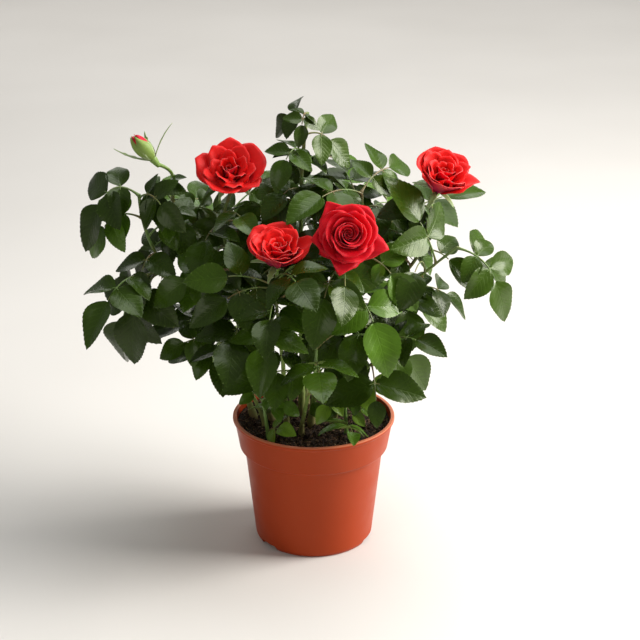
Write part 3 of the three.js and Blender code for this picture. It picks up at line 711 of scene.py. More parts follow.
cane_chains = []
for limb_name, curve in limb_curves.items():
    chain = []
    for share in shares(CANE_STEPS):
        at = curve.at(share)
        wander = Vector((noise.noise(at * 0.05), noise.noise(at * 0.05 + Vector((7, 7, 7))), 0)) * WANDER
        chain.append((at + wander * math.sin(math.pi * share), limb_girth(limb_name, share)))
    if limb_name.startswith("cane"):
        foot, flare = chain[0]
        chain.insert(0, (foot - Vector((0, 0, BURIED_DEPTH)), flare * 1.05))
    cane_chains.append(chain)
canes = skinned(
    "canes_and_boughs", cane_chains, sides=14, relief=0.42, relief_scale=520.0, finish=cane_bark_finish()
)
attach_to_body(canes, "root")
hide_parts(*LIMBS)

prickle_draw = np.random.default_rng(77)
prickle_chains = []
for limb_name, curve in limb_curves.items():
    for k in range(PRICKLES_PER_LIMB):
        share = 0.12 + 0.84 * (k + 0.6 * prickle_draw.random()) / PRICKLES_PER_LIMB
        turn = prickle_draw.uniform(0, 2 * math.pi)
        prickle_chains.append(prickle_chain(curve, share, limb_girth(limb_name, share), turn))
prickle_skin, prickle_tree, prickle_shader = new_finish("prickle_skin", roughness=0.4, specular=0.4)
flush = patches(prickle_tree, object_place(prickle_tree), 200, 0.35, 0.65, 2)
set_inputs(prickle_tree, prickle_shader, Base_Color=blended_colour(prickle_tree, flush, PRICKLE, BARK_GREEN))
prickles = skinned(
    "cane_prickles", prickle_chains, sides=5, relief=0.0, relief_scale=400.0, finish=prickle_skin
)
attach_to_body(prickles, "root")


# The leafy shoots: this season's green stems, one for each mass of foliage, that go on from the ends of
# the canes and boughs. Each bears compound leaves by the rule that the solids follow, on thin reddish stalks.

SHOOTS = {
    "leaves_left_low": ("bough_left", (-118, -17, 212), 2, 47, 240, 62, 2.3),
    "leaves_right_outer": ("bough_right_outer", (101, -20, 234), 2, 42, 160, 208, 0.5),
    "leaves_low_right": ("cane_low_right", (48, -42, 172), 3, 44, 260, 210, 1.4),
    "leaves_left": ("cane_left", (-122, -10, 270), 5, 32, 120, 321, 1.4),
    "leaves_right": ("cane_right", (83, -5, 260), 4, 30, 160, 567, 0.9),
    "leaves_top": ("cane_top", (-4, 5, 325), 6, 30, 180, 524, 1.4),
    "leaves_low_left": ("cane_low_left", (-66, -18, 162), 3, 32, 0, 211, 0.9),
    "leaves_bud": ("cane_bud", (-99, 1, 278), 4, 28, 220, 282, 1.4),
    "leaves_bloom_front": ("cane_bloom_front", (-25, -50, 224), 4, 38, 260, 125, 0.9),
    "leaves_bloom_centre": ("cane_bloom_centre", (22, -36, 232), 5, 40, 140, 366, 1.4),
    "leaves_front": ("cane_front", (2, -50, 172), 4, 38, 20, 172, 0.5),
    "leaves_right_side": ("bough_right_side", (68, 4, 194), 2, 34, 100, 249, 1.4),
    "leaves_bloom_left": ("cane_bloom_left", (-58, 2, 268), 3, 34, 260, 323, 1.4),
    "leaves_inner_left": ("bough_inner_left", (-54, -28, 222), 4, 40, 100, 414, 0.5),
    "leaves_centre": ("bough_centre", (34, 4, 268), 4, 38, 220, 253, 0.9),
    "leaves_back_left": ("cane_back_left", (-72, 58, 240), 4, 38, 100, 55, 0.5),
    "leaves_back_right": ("cane_back_right", (58, 60, 242), 4, 38, 100, 56, 0.5),
    "leaves_back": ("cane_back", (-12, 80, 232), 4, 38, 20, 217, 0.5),
    "leaves_back_low": ("bough_back_low", (46, 64, 166), 2, 36, 200, 378, 0.9),
    "leaves_back_side": ("bough_back_side", (-70, 56, 162), 3, 36, 100, 219, 0.5),
    "leaves_base_left": ((-33, -27), (-37, -30, 122), 2, 18, 340, 180, 0.5),
    "leaves_base_right": ((24, -21), (22, -27, 128), 2, 34, 280, 181, 0.9),
}
UP = Vector((0, 0, 1))
GOLDEN_TURN = math.radians(137.5)
LEAF_TURNS = (0, 24, -24, 48, -48)
PETIOLE = 0.5
PAIR_PITCH = 0.42
END_PITCH = 0.3
LEAVE_ANGLE = 54
LEAVE_VARIES = 10
DROOP_VARIES = 0.35
ROLL_VARIES = 16
LENGTH_VARIES = 0.1
TILT_VARIES = 10
UPPER_PAIR = 0.86
LOWER_PAIR = 0.68
UPPER_SPREAD = math.radians(74)
LOWER_SPREAD = math.radians(84)
LEAF_FOLD = math.radians(16)
LEAF_ARCH = math.radians(26)
LEAF_WIDTH = 0.66
WINDOW = Vector((0.1, -0.62, 0.78))
OUTWARD_PULL = 0.55
CROWN_RADIUS = 120
CAMERA_AT = Vector((0.0047, -1.150, 0.620))
SHOOT_GREEN = (0.13, 0.235, 0.045, 1)
SHOOT_RED = (0.20, 0.115, 0.045, 1)
STALK_GREEN = (0.15, 0.24, 0.06, 1)
STEM_STEPS = 24
STEM_END_GIRTH = 1.15
YOUNG_STEM_GIRTHS = (1.6, 0.8)
STALK_STEPS = 12
STALK_GIRTH = 0.5
STALK_GIRTH_BY_SIZE = 0.008
STALK_TAPER = 0.42
SHEATH = 0.9
SHEATH_LENGTH = 0.06
FIRST_LEAF_AT = 0.1
LEAVES_SPAN = 0.86
FIVE_LEAFLETS_SHARE = 0.6
TOP_LEAF_SMALLER = 0.16
SOLID_MARK_NEAR = 0.3
MARKS_NEEDED = 3
WIDE_MARKS_AT = 0.28
TOP_MARK = (0.46, 0, 0.35)
BLADE_SAMPLES = ((0.14, 0.6), (0.28, 1), (0.46, 0.95), (0.66, 0.76), (0.84, 0.4))
MIDDLE_SAMPLE = 13
LEAFLETS_APART = 2.2
NEAR_LIP_HEIGHT = POT_HEIGHT + 20
NEAR_LIP_RADIUS = RIM_RADIUS - 6
SHRINKS_AND_TILTS = ((0.9, 0), (0.8, 18), (0.8, -18), (0.66, 0), (0.66, 32), (0.66, -32), (0.5, 0))
LEFT_SHOOTS = ("leaves_left", "leaves_left_low", "leaves_low_left")
OPEN_FOOT_TOP = 160
SEED_STEP = 577
SIDE_ATTEMPTS = 7
SIDE_ATTEMPT_TURN = math.radians(51)
SIDE_CLEAR = 0.7
SIDE_LEAF_SMALLER = 0.9
SIDE_LEAF_HANGS = 0.9
SIDE_FIVE_LEAFLETS_SHARE = 0.45
FOOT_LEAVES = 4
FOOT_LEAF_SIZE = 17
LIMB_LEAVES = 2
FEWEST_LEAFLETS = 2
PAST_OWN_STALK = 6
END_CLEAR = 0.5
BEHIND_ENOUGH = 0.83
# Leaflets that reach over the pot's lip stay short, as the photograph shows the lip bare there:
# shoot, which leaf and which of its leaflets, and the share of its length that it keeps
SHORT_LEAFLETS = (
    ("leaves_low_right", 0, 2, 0.45),
    ("leaves_base_right", 0, 4, 0.5),
    ("leaves_base_right", 0, 3, 0.45),
)
# The last leaf of a shoot that bears no flower: size against the shoot's leaves, azimuth, how far it hangs
END_LEAVES = {
    "leaves_top": (0.72, 160, 2.4),
    "leaves_left": (1.15, 190, 2.2),
    "leaves_left_low": (0.8, 200, 1.2),
    "leaves_right_outer": (1.1, 330, 1.9),
    "leaves_low_right": (0.7, 350, 0.9),
    "leaves_low_left": (0.8, 210, 1.2),
    "leaves_front": (0.8, 280, 1.2),
    "leaves_right_side": (0.8, 340, 1.2),
    "leaves_inner_left": (0.7, 250, 0.9),
    "leaves_centre": (0.8, 20, 0.9),
    "leaves_back_left": (0.8, 130, 0.9),
    "leaves_back_right": (0.8, 50, 0.9),
    "leaves_back": (0.8, 90, 0.9),
    "leaves_back_low": (0.8, 60, 0.9),
    "leaves_back_side": (0.8, 150, 0.9),
    "leaves_base_left": (0.8, 230, 0.5),
    "leaves_base_right": (0.98, 262, 1.2),
}
END_LEAF_AT = 0.985
END_LEAF_SMALLER = 0.04
END_FIVE_LEAFLETS_SHARE = 0.5
END_LEAF_TURNS = (0, 30, -30, 60, -60, 90, -90, 120, -120, 150, -150, 180)


def seeded_draws(seed):
    """A fixed sequence of draws from 0 to 1 for each shoot."""
    modulus = 2147483647
    state = [(seed * 7919 + 104729) % modulus]

    def draw():
        state[0] = (state[0] * 16807) % modulus
        return state[0] / modulus

    return draw


def signed(draw):
    return 2 * draw() - 1


def stem_curve(rooted, tip):
    """A shoot's stem goes on from its limb along the same line, or rises from the compost."""
    end = Vector(tip)
    if isinstance(rooted, str):
        leaving = limb_curves[rooted].tangent(1)
        start = limb_curves[rooted].at(1) + leaving * GAP
        return Bend(start, start + leaving * ((end - start).length / 2), end)
    start = Vector((*rooted, SOIL_TOP + GAP))
    return Bend(start, (start + end) / 2 + UP * 4, end)


def leaf_plan(stem, place, turn, size, leaflets, hangs, draw):
    """Where a compound leaf's stalk runs and its leaflets sit: a pair or two, and one at the end."""
    attach = stem.at(place)
    tangent = stem.tangent(place)
    first, second = square_to(tangent)
    outwards = first * math.cos(turn) + second * math.sin(turn)
    leave = math.radians(LEAVE_ANGLE + LEAVE_VARIES * signed(draw))
    set_off = tangent * math.cos(leave) + outwards * math.sin(leave)
    droop = hangs + DROOP_VARIES * signed(draw)
    roll = math.radians(ROLL_VARIES * signed(draw))
    length = size * (1 + LENGTH_VARIES * signed(draw))
    pairs = (leaflets - 1) // 2
    stalk_length = length * (PETIOLE + PAIR_PITCH * (pairs - 1) + END_PITCH)
    bend = attach + set_off * (stalk_length / 2)
    hang = (set_off - UP * droop).normalized()
    stalk = Bend(attach, bend, bend + hang * (stalk_length / 2))
    light = WINDOW + Vector((attach.x, attach.y, 0)) * (OUTWARD_PULL / CROWN_RADIUS)

    def blade_at(share):
        along = stalk.tangent(share)
        face = (light - along * light.dot(along)).normalized()
        return stalk.at(share), along, Quaternion(along, roll) @ face

    blades = []
    for pair in range(pairs):
        from_end = pairs - 1 - pair
        share = 1 - length * (END_PITCH + PAIR_PITCH * from_end) / stalk_length
        spread = LOWER_SPREAD if from_end else UPPER_SPREAD
        for sign in (1, -1):
            base, along, face = blade_at(share)
            tilt = math.radians(TILT_VARIES * signed(draw))
            points = along * math.cos(spread) + along.cross(face) * (sign * math.sin(spread))
            reach = length * (LOWER_PAIR if from_end else UPPER_PAIR)
            blades.append((base, points, Quaternion(points, tilt) @ face, reach))
    base, along, face = blade_at(1)
    blades.append((base, along, face, length))
    return stalk, blades


def blade_point(blade, share, across, raise_by=0.0):
    """A point on a leaflet in millimetres: share of its length, and width from its midrib."""
    base, along, face, length = blade
    angle = LEAF_ARCH * share
    midrib = base + along * (length * math.sin(angle) / LEAF_ARCH)
    midrib = midrib - face * (length * (1 - math.cos(angle)) / LEAF_ARCH)
    up = face * math.cos(angle) + along * math.sin(angle)
    side = along.cross(face)
    width = abs(across)
    return (
        midrib
        + side * (math.copysign(width, across) * math.cos(LEAF_FOLD))
        + up * (width * math.sin(LEAF_FOLD) + raise_by)
    )


def marks_of(blade):
    """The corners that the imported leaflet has, by which it is known again."""
    half = blade[3] * LEAF_WIDTH / 2
    return (
        blade_point(blade, 1, 0),
        blade_point(blade, WIDE_MARKS_AT, half),
        blade_point(blade, WIDE_MARKS_AT, -half),
        blade_point(blade, *TOP_MARK),
    )


def samples_of(blade):
    """Points all over a leaflet, to test what room it has."""
    half = blade[3] * LEAF_WIDTH / 2
    spots = [blade_point(blade, 1, 0)]
    for share, width in BLADE_SAMPLES:
        spots.extend(blade_point(blade, share, half * width * side) for side in (-1, -0.5, 0, 0.5, 1))
    return spots


def tree_of(meshes):
    """One search tree over the faces of several meshes."""
    points = []
    faces = []
    for mesh in meshes:
        first = len(points)
        points.extend(vertex.co.copy() for vertex in mesh.vertices)
        faces.extend([first + index for index in polygon.vertices] for polygon in mesh.polygons)
    return BVHTree.FromPolygons(points, faces)


packed_all = tree_of([node.data for node in packed.values()])
added = {"points": np.zeros((0, 3))}


def clear_of_solids(spots, clear):
    return all(packed_all.find_nearest(spot * MM, clear * MM)[0] is None for spot in spots)


def add_blade(blade):
    added["points"] = np.vstack([added["points"], np.array(samples_of(blade))])


def has_room(blade, clear):
    """Whether a leaflet is clear of what is packed and of the leaflets added so far."""
    spots = samples_of(blade)
    if not clear_of_solids(spots, clear):
        return False
    from_middle = np.abs(added["points"] - np.array(spots[MIDDLE_SAMPLE])).max(axis=1)
    near = added["points"][from_middle < blade[3] * 0.6 + 3]
    apart = near[:, None, :] - np.array(spots)[None, :, :]
    return not bool(((apart**2).sum(axis=2) < LEAFLETS_APART**2).any())


def over_the_lip(blade):
    """Whether a low leaflet would hang out over the pot's lip."""
    low = [spot for spot in samples_of(blade) if spot.z < NEAR_LIP_HEIGHT]
    return any(math.hypot(spot.x, spot.y) > NEAR_LIP_RADIUS for spot in low)


def behind_leaves(blade):
    """How much of a leaflet falls where the photograph shows foliage and not sky."""
    spots = samples_of(blade)
    covered = 0
    for spot in spots:
        ray = spot * MM - CAMERA_AT
        covered += packed_all.ray_cast(CAMERA_AT, ray.normalized())[0] is not None
    return covered / len(spots)


def is_packed(blade, packed_shoot):
    """Whether a leaflet is in its shoot's solid: three of its four marks lie on the solid's faces."""
    near = [packed_shoot.find_nearest(mark * MM, SOLID_MARK_NEAR * MM)[0] for mark in marks_of(blade)]
    return sum(spot is not None for spot in near) >= MARKS_NEEDED


def fuller(best, leaf):
    """The leaf that holds more of its leaflets. The earlier one stays where they are equal."""
    return leaf if best is None or sum(leaf[2]) > sum(best[2]) else best


def bear(shoot_name, rank, stalk, blades, held):
    leaves.append({"shoot": shoot_name, "rank": rank, "stalk": stalk, "blades": blades, "held": held})


def bear_extra(shoot_name, stalk, blades, held):
    """Adds a leaf that is not in the solids and keeps its room from the next ones."""
    bear(shoot_name, None, stalk, blades, held)
    for blade, kept in zip(blades, held):
        if kept:
            add_blade(blade)


stems = {}
leaves = []
for shoot_name, (rooted, tip, count, size, turn, seed, hangs) in SHOOTS.items():
    stem = stem_curve(rooted, tip)
    stems[shoot_name] = stem
    packed_shoot = tree_of([packed[shoot_name].data])
    for k in range(count):
        place = FIRST_LEAF_AT + LEAVES_SPAN * k / max(count - 1, 1)
        leaflets = 5 if seeded_draws(seed + k * 31)() < FIVE_LEAFLETS_SHARE else 3
        smaller = 1 - TOP_LEAF_SMALLER * (k / count)
        best = None
        for attempt, offset in enumerate(LEAF_TURNS):
            draw = seeded_draws(seed + k * 31 + attempt * 1009)
            azimuth = math.radians(turn + offset) + GOLDEN_TURN * k
            stalk, blades = leaf_plan(stem, place, azimuth, size * smaller, leaflets, hangs, draw)
            held = [is_packed(blade, packed_shoot) for blade in blades]
            best = fuller(best, (stalk, blades, held))
        if any(best[2]):
            bear(shoot_name, k, *best)

for shoot_name, rank, which, kept_share in SHORT_LEAFLETS:
    for leaf in leaves:
        if (leaf["shoot"], leaf["rank"]) == (shoot_name, rank):
            base, along, face, length = leaf["blades"][which]
            leaf["blades"][which] = (base, along, face, length * kept_share)

# A leaflet that the solids had no room for grows smaller or at another tilt, where that is clear.
# A side leaflet is not tested next to its own stalk.
for leaf in leaves:
    for i, blade in enumerate(leaf["blades"]):
        if leaf["held"][i]:
            continue
        base, along, face, length = blade
        for shrink, tilt in SHRINKS_AND_TILTS:
            smaller = (base, along, Quaternion(along, math.radians(tilt)) @ face, length * shrink)
            if i < len(leaf["blades"]) - 1:
                free = clear_of_solids(samples_of(smaller)[PAST_OWN_STALK:], END_CLEAR)
            else:
                free = has_room(smaller, END_CLEAR)
            if free:
                leaf["blades"][i] = smaller
                leaf["held"][i] = True
                add_blade(smaller)
                break

# Side leaves fill the crown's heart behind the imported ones. None hangs over the open foot of the plant.
side_leaf_seats = []
for shoot_name, (rooted, tip, count, size, turn, seed, hangs) in SHOOTS.items():
    stem = stems[shoot_name]
    if not isinstance(rooted, str):
        for k in range(FOOT_LEAVES):
            place = 0.3 + 0.19 * k
            side_leaf_seats.append((shoot_name, stem, place, FOOT_LEAF_SIZE, turn + 83, seed + 7 * k))
    elif shoot_name not in LEFT_SHOOTS:
        smaller = size * SIDE_LEAF_SMALLER
        for k in range(count):
            place = 0.12 + 0.8 * k / count
            side_leaf_seats.append((shoot_name, stem, place, smaller, turn + 61, seed + 7 * k))
        limb = limb_curves[rooted]
        for k in range(LIMB_LEAVES):
            place = 0.62 + 0.2 * k
            side_leaf_seats.append((shoot_name, limb, place, smaller, turn + 17, seed + 401 + 11 * k))
for number, (shoot_name, stem, place, size, turn, seed) in enumerate(side_leaf_seats):
    at_foot = shoot_name.startswith("leaves_base")
    least_behind = 0 if at_foot else BEHIND_ENOUGH
    lowest = SOIL_TOP + 3 if at_foot else OPEN_FOOT_TOP
    best = None
    for attempt in range(SIDE_ATTEMPTS):
        draw = seeded_draws(seed * 13 + attempt * SEED_STEP + 5)
        azimuth = math.radians(turn) + GOLDEN_TURN * number + attempt * SIDE_ATTEMPT_TURN
        leaflets = 5 if draw() < SIDE_FIVE_LEAFLETS_SHARE else 3
        reach = size * (0.75 + 0.3 * draw())
        stalk, blades = leaf_plan(stem, place, azimuth, reach, leaflets, SIDE_LEAF_HANGS, draw)
        held = [has_room(blade, SIDE_CLEAR) and behind_leaves(blade) >= least_behind for blade in blades]
        too_low = min(spot.z for blade in blades for spot in samples_of(blade)) < lowest
        full_enough = held[-1] and sum(held) >= FEWEST_LEAFLETS
        if full_enough and not too_low and not any(over_the_lip(blade) for blade in blades):
            best = fuller(best, (stalk, blades, held))
    if best is not None:
        bear_extra(shoot_name, *best)

for number, (shoot_name, (grown_to, turn, hangs)) in enumerate(END_LEAVES.items()):
    size = SHOOTS[shoot_name][3] * grown_to
    best = None
    for attempt, offset in enumerate(END_LEAF_TURNS):
        draw = seeded_draws(3011 + number * 97 + attempt * SEED_STEP)
        azimuth = math.radians(turn + offset)
        reach = size * (1 - END_LEAF_SMALLER * attempt)
        leaflets = 5 if draw() < END_FIVE_LEAFLETS_SHARE else 3
        stem = stems[shoot_name]
        stalk, blades = leaf_plan(stem, END_LEAF_AT, azimuth, reach, leaflets, hangs, draw)
        held = [has_room(blade, END_CLEAR) and not over_the_lip(blade) for blade in blades]
        if held[-1]:
            best = fuller(best, (stalk, blades, held))
    if best is not None:
        bear_extra(shoot_name, *best)


def shoot_skin_finish(name, green, red, from_height, to_height):
    """Smooth young skin: green, flushed red in patches that grow stronger from one height to the other."""
    finish, tree, shader = new_finish(name, roughness=0.42, specular=0.5)
    place = object_place(tree)
    height = ranged(tree, axis_of(tree, place, "Z"), from_height, to_height)
    flush = maths(tree, "MULTIPLY", patches(tree, place, 55, 0.42, 0.68), height)
    set_inputs(tree, shader, Base_Color=blended_colour(tree, flush, green, red))
    add_relief(tree, shader, noise_over(tree, place, 1200, 3), strength=0.25, distance=0.0002)
    return finish


stem_chains = []
for shoot_name, stem in stems.items():
    rooted, tip, count = SHOOTS[shoot_name][:3]
    from_girth, to_girth = YOUNG_STEM_GIRTHS
    if isinstance(rooted, str):
        from_girth, to_girth = limb_girths[rooted] * LIMB_TAPER, STEM_END_GIRTH
    chain = [(stem.start - stem.tangent(0) * 1.6, from_girth)]
    for share in shares(STEM_STEPS):
        girth = from_girth + (to_girth - from_girth) * share
        chain.append((stem.at(share), girth * swelling(share * count + 0.5, 0.14, 0.07)))
    stem_chains.append(chain)
shoot_skin = shoot_skin_finish("shoot_skin", SHOOT_GREEN, SHOOT_RED, 0.12, 0.3)
shoot_stems = skinned(
    "shoot_stems", stem_chains, sides=10, relief=0.12, relief_scale=420.0, finish=shoot_skin
)
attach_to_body(shoot_stems, "root")

stalk_chains = []
for leaf in leaves:
    stalk = leaf["stalk"]
    thick = STALK_GIRTH + STALK_GIRTH_BY_SIZE * leaf["blades"][-1][3]
    chain = []
    for share in shares(STALK_STEPS):
        sheath = 1 + SHEATH * math.exp(-share / SHEATH_LENGTH)
        chain.append((stalk.at(share), thick * (1 - STALK_TAPER * share) * sheath))
    stalk_chains.append(chain)
    for (base, along, face, length), kept in zip(leaf["blades"][:-1], leaf["held"]):
        if kept:
            neck = [base, base + along * (length * 0.05), base + along * (length * 0.1)]
            stalk_chains.append([(at, thick * (0.62 - 0.1 * k)) for k, at in enumerate(neck)])
stalk_skin = shoot_skin_finish("leaf_stalk_skin", STALK_GREEN, SHOOT_RED, 0.02, 0.12)
leaf_stalks = skinned(
    "leaf_stalks", stalk_chains, sides=6, relief=0.0, relief_scale=400.0, finish=stalk_skin
)
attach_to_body(leaf_stalks, "root")


# The leaflets: firm, folded along the midrib and finely toothed, glossy dark green above and dull grey-green
# below, brighter where they are young. Some carry a brighter tint that is painted backlight, for light
# shining through them. Each grows from its leaf's stalk.

# share of the length and half width there, as a share of the length
LEAF_HALF_WIDTHS = (
    (0, 0.0), (0.04, 0.07), (0.1, 0.185), (0.18, 0.27), (0.28, 0.325), (0.4, 0.335),
    (0.52, 0.31), (0.64, 0.262), (0.76, 0.192), (0.88, 0.105), (0.96, 0.04), (1, 0.0),
)
WIDEST = 0.335
TEETH = 12
TOOTH_REACH = 0.012
BASE_ROWS = (0.03, 0.062, 0.105)
BLADE_THICKNESS = 0.0065
RIB_SUNK = 0.004
RIB_DEPTH = 0.026
MIDDLE_LINE = 0.52
# how far a leaflet's middle line, margin and tooth lie from the middle of its chart
CHART_MIDDLE = 0.24
CHART_EDGE = 0.46
CHART_TOOTH = 0.49
GLOSS_ABOVE = 0.28
GLOSS_BELOW = 0.6
DEEP_SHARE = 0.44
DEEP_OR_MID_SHARE = 0.86
# Some leaves carry a brighter tint that is painted backlight, for light shining through them; these shoots
# never do.
NEVER_PAINTED_BACKLIGHT = ("leaves_top", "leaves_right_outer")
# upper face, its veins, and the under face
LEAF_TINTS = {
    "deep": ((0.023, 0.047, 0.0030, 1), (0.029, 0.059, 0.004, 1), (0.088, 0.140, 0.026, 1)),
    "mid": ((0.036, 0.075, 0.0040, 1), (0.045, 0.093, 0.006, 1), (0.105, 0.165, 0.030, 1)),
    # painted backlight: a brighter, yellower green that stands for light shining through the leaf
    "bright": ((0.070, 0.150, 0.0100, 1), (0.085, 0.180, 0.013, 1), (0.150, 0.235, 0.045, 1)),
    "young": ((0.135, 0.240, 0.0200, 1), (0.160, 0.280, 0.030, 1), (0.180, 0.260, 0.070, 1)),
}
# fold along the midrib, arch and twist in degrees, and how wavy the margin is
BLADE_FORMS = (
    (16, 26, 0, 0.03),
    (22, 34, 8, 0.05),
    (11, 20, -7, 0.06),
    (18, 42, 5, 0.03),
    (8, 28, -10, 0.07),
    (26, 22, 6, 0.04),
    (14, 36, -4, 0.08),
    (20, 16, 12, 0.05),
)


def leaf_half_width(share):
    for (before, low), (after, high) in zip(LEAF_HALF_WIDTHS, LEAF_HALF_WIDTHS[1:]):
        if share <= after:
            return low + (high - low) * (share - before) / (after - before)
    return 0.0


def leaflet_shape(name, fold, arch, twist, wave, seed):
    """A closed toothed blade one unit long, along X with its upper face to +Z, with a midrib below."""
    draw = np.random.default_rng(seed)
    shape = bmesh.new()
    chart = shape.loops.layers.uv.new("UVMap")
    below = shape.faces.layers.int.new("below")
    skew = 1 + 0.05 * draw.normal()

    def at(share, across, lift=0.0):
        angle = arch * share
        width = abs(across)
        ripple = wave * math.sin(9 * share + 2.5 * math.copysign(1, across) + seed) * width
        turned = twist * share
        flat_side = across * math.cos(fold)
        flat_up = width * math.sin(fold) * (0.75 + 0.25 * math.cos(3 * share)) + ripple + lift
        side = flat_side * math.cos(turned) - flat_up * math.sin(turned)
        up = flat_side * math.sin(turned) + flat_up * math.cos(turned)
        x = math.sin(angle) / arch + up * math.sin(angle)
        z = -(1 - math.cos(angle)) / arch + up * math.cos(angle)
        return Vector((x, side, z))

    def point(share, across, lift=0.0):
        return shape.verts.new(at(share, across, lift))

    def add_face(corners, places, is_below, flipped):
        made = shape.faces.new(corners[::-1] if flipped else corners)
        made[below] = int(is_below)
        made.smooth = True
        for loop, place in zip(made.loops, places[::-1] if flipped else places):
            loop[chart].uv = place

    toothed_from = BASE_ROWS[-1]
    rows = list(BASE_ROWS)
    for k in range(1, TEETH + 1):
        rows.append(toothed_from + (1 - toothed_from) * (k / TEETH) ** 0.97)
    ribs = []
    ribs_below = []
    for share in rows[:-1]:
        ribs.append(point(share, 0, -RIB_SUNK))
        ribs_below.append(point(share, 0, -RIB_DEPTH * (1 - 0.7 * share)))
    tip = point(1.0, 0)
    ribs.append(tip)
    ribs_below.append(tip)
    for side in (1, -1):
        wider = skew if side > 0 else 2 - skew
        edge = []
        middle = []
        middle_below = []
        for k, share in enumerate(rows[:-1]):
            width = leaf_half_width(share) * wider
            lift = 0.012 + (0.003 if k % 2 else -0.003)
            edge.append(point(share, side * width))
            middle.append(point(share, side * width * MIDDLE_LINE, lift))
            middle_below.append(point(share, side * width * MIDDLE_LINE, lift - BLADE_THICKNESS))
        for line in (edge, middle, middle_below):
            line.append(tip)
        for k in range(len(rows) - 1):
            a, b = rows[k], rows[k + 1]
            wide_a, wide_b = leaf_half_width(a) / WIDEST, leaf_half_width(b) / WIDEST
            last = k == len(rows) - 2
            toothed = k >= len(BASE_ROWS) - 1 and not last
            reach = leaf_half_width((a + b) / 2 + 0.02) * wider
            tooth = point(a + 0.92 * (b - a), side * (reach + TOOTH_REACH)) if toothed else None
            tooth_place = (0.5 + side * CHART_TOOTH * wide_b, b)
            for inner, outer, inner_at, outer_at, is_below in (
                (ribs, middle, 0, CHART_MIDDLE, False),
                (middle, edge, CHART_MIDDLE, CHART_EDGE, False),
                (ribs_below, middle_below, 0, CHART_MIDDLE, True),
                (middle_below, edge, CHART_MIDDLE, CHART_EDGE, True),
            ):
                flipped = (side > 0) != is_below
                inner_a = (0.5 + side * inner_at * wide_a, a)
                inner_b = (0.5 + side * inner_at * wide_b, b)
                outer_a = (0.5 + side * outer_at * wide_a, a)
                outer_b = (0.5 + side * outer_at * wide_b, b)
                if last:
                    add_face([inner[k], outer[k], tip], [inner_a, outer_a, outer_b], is_below, flipped)
                elif outer is edge and toothed:
                    add_face([inner[k], outer[k], tooth], [inner_a, outer_a, tooth_place], is_below, flipped)
                    corners = [inner[k], tooth, outer[k + 1], inner[k + 1]]
                    add_face(corners, [inner_a, tooth_place, outer_b, inner_b], is_below, flipped)
                else:
                    corners = [inner[k], outer[k], outer[k + 1], inner[k + 1]]
                    add_face(corners, [inner_a, outer_a, outer_b, inner_b], is_below, flipped)
    for seam in shape.edges:
        seam.smooth = len({met[below] for met in seam.link_faces}) == 1
    return mesh_of(name, shape)


def chart_place(tree):
    return add_node(tree, "ShaderNodeUVMap", uv_map="UVMap").node.outputs["UV"]


def from_midrib(tree, chart):
    """How far a point lies to either side of the middle line of its chart."""
    return maths(tree, "ABSOLUTE", maths(tree, "SUBTRACT", axis_of(tree, chart, "X"), 0.5))


def leaf_finish(name, colour, vein_colour, gloss):
    """A leaf's face: lateral veins a little paler and sunk, with a fine grain and an uneven gloss."""
    finish, tree, shader = new_finish(name, roughness=gloss, specular=0.22)
    if gloss == GLOSS_ABOVE:
        set_inputs(tree, shader, Specular_Tint=(0.9, 1.0, 0.55, 1), Coat_Weight=0.23, Coat_Roughness=0.16)
    chart = chart_place(tree)
    place = object_place(tree)
    across = from_midrib(tree, chart)
    slanting = maths(tree, "MULTIPLY_ADD", across, -0.7, axis_of(tree, chart, "Y"))
    wave = maths(tree, "PINGPONG", maths(tree, "MULTIPLY", slanting, 8.0), 0.5)
    vein = ranged(tree, wave, 0.0, 0.19, 0.7, 0.0)
    rib = ranged(tree, across, 0.0, 0.022, 1.0, 0.0)
    margin = ranged(tree, across, 0.22, 0.40, 0.6, 0.0)
    faded = maths(tree, "MULTIPLY", maths(tree, "MAXIMUM", vein, rib), margin)
    ground = blended_colour(tree, patches(tree, place, 70, 0.3, 0.7, 2), colour, toned(colour, 0.72))
    rough = ranged(tree, patches(tree, place, 110, 0.3, 0.7), 0, 1, gloss - 0.07, gloss + 0.1)
    set_inputs(tree, shader, Base_Color=blended_colour(tree, faded, ground, vein_colour), Roughness=rough)
    sunk = maths(tree, "MULTIPLY", faded, -1.0)
    height = maths(tree, "MULTIPLY_ADD", noise_over(tree, place, 1400, 3), 0.25, sunk)
    add_relief(tree, shader, height, strength=0.45, distance=0.0004)
    return finish


def leaf_tree():
    """Sets a toothed blade on each seat, turned, sized and chosen by the seat's own values."""
    tree, given, result = new_tree(
        "leaflets_on_seats", Blades="Collection", Upper_face="Material", Under_face="Material"
    )
    placed = add_node(
        tree,
        "GeometryNodeInstanceOnPoints",
        Points=given["Geometry"],
        Instance=add_node(tree, "GeometryNodeCollectionInfo", given["Blades"], True, True),
        Pick_Instance=True,
        Instance_Index=named_value(tree, "blade", "INT"),
        Rotation=add_node(tree, "FunctionNodeEulerToRotation", named_value(tree, "turn", "FLOAT_VECTOR")),
        Scale=named_value(tree, "size", "FLOAT"),
    )
    upper = painted(tree, add_node(tree, "GeometryNodeRealizeInstances", placed), given["Upper face"])
    is_below = named_value(tree, "below", "BOOLEAN")
    give(tree, result, painted(tree, upper, given["Under face"], Selection=is_below))
    return tree


leaf_shapes = bits_collection(
    "leaf_shapes",
    [
        leaflet_shape(f"leaf_shape_{k}", math.radians(fold), math.radians(arch), math.radians(twist), wave, k)
        for k, (fold, arch, twist, wave) in enumerate(BLADE_FORMS)
    ],
)
leaves_on_seats = leaf_tree()


def tint_of(leaf, number):
    """Deals a tint out by spray, some of them the brighter tint that is painted backlight. The leaves at the
    foot are young or carry that painted backlight.
    """
    chance = seeded_draws(907 + 37 * number)()
    if leaf["shoot"].startswith("leaves_base"):
        return "bright" if chance < 0.6 else "young"
    if chance < DEEP_SHARE:
        return "deep"
    if chance < DEEP_OR_MID_SHARE or leaf["shoot"] in NEVER_PAINTED_BACKLIGHT:
        return "mid"
    return "bright"


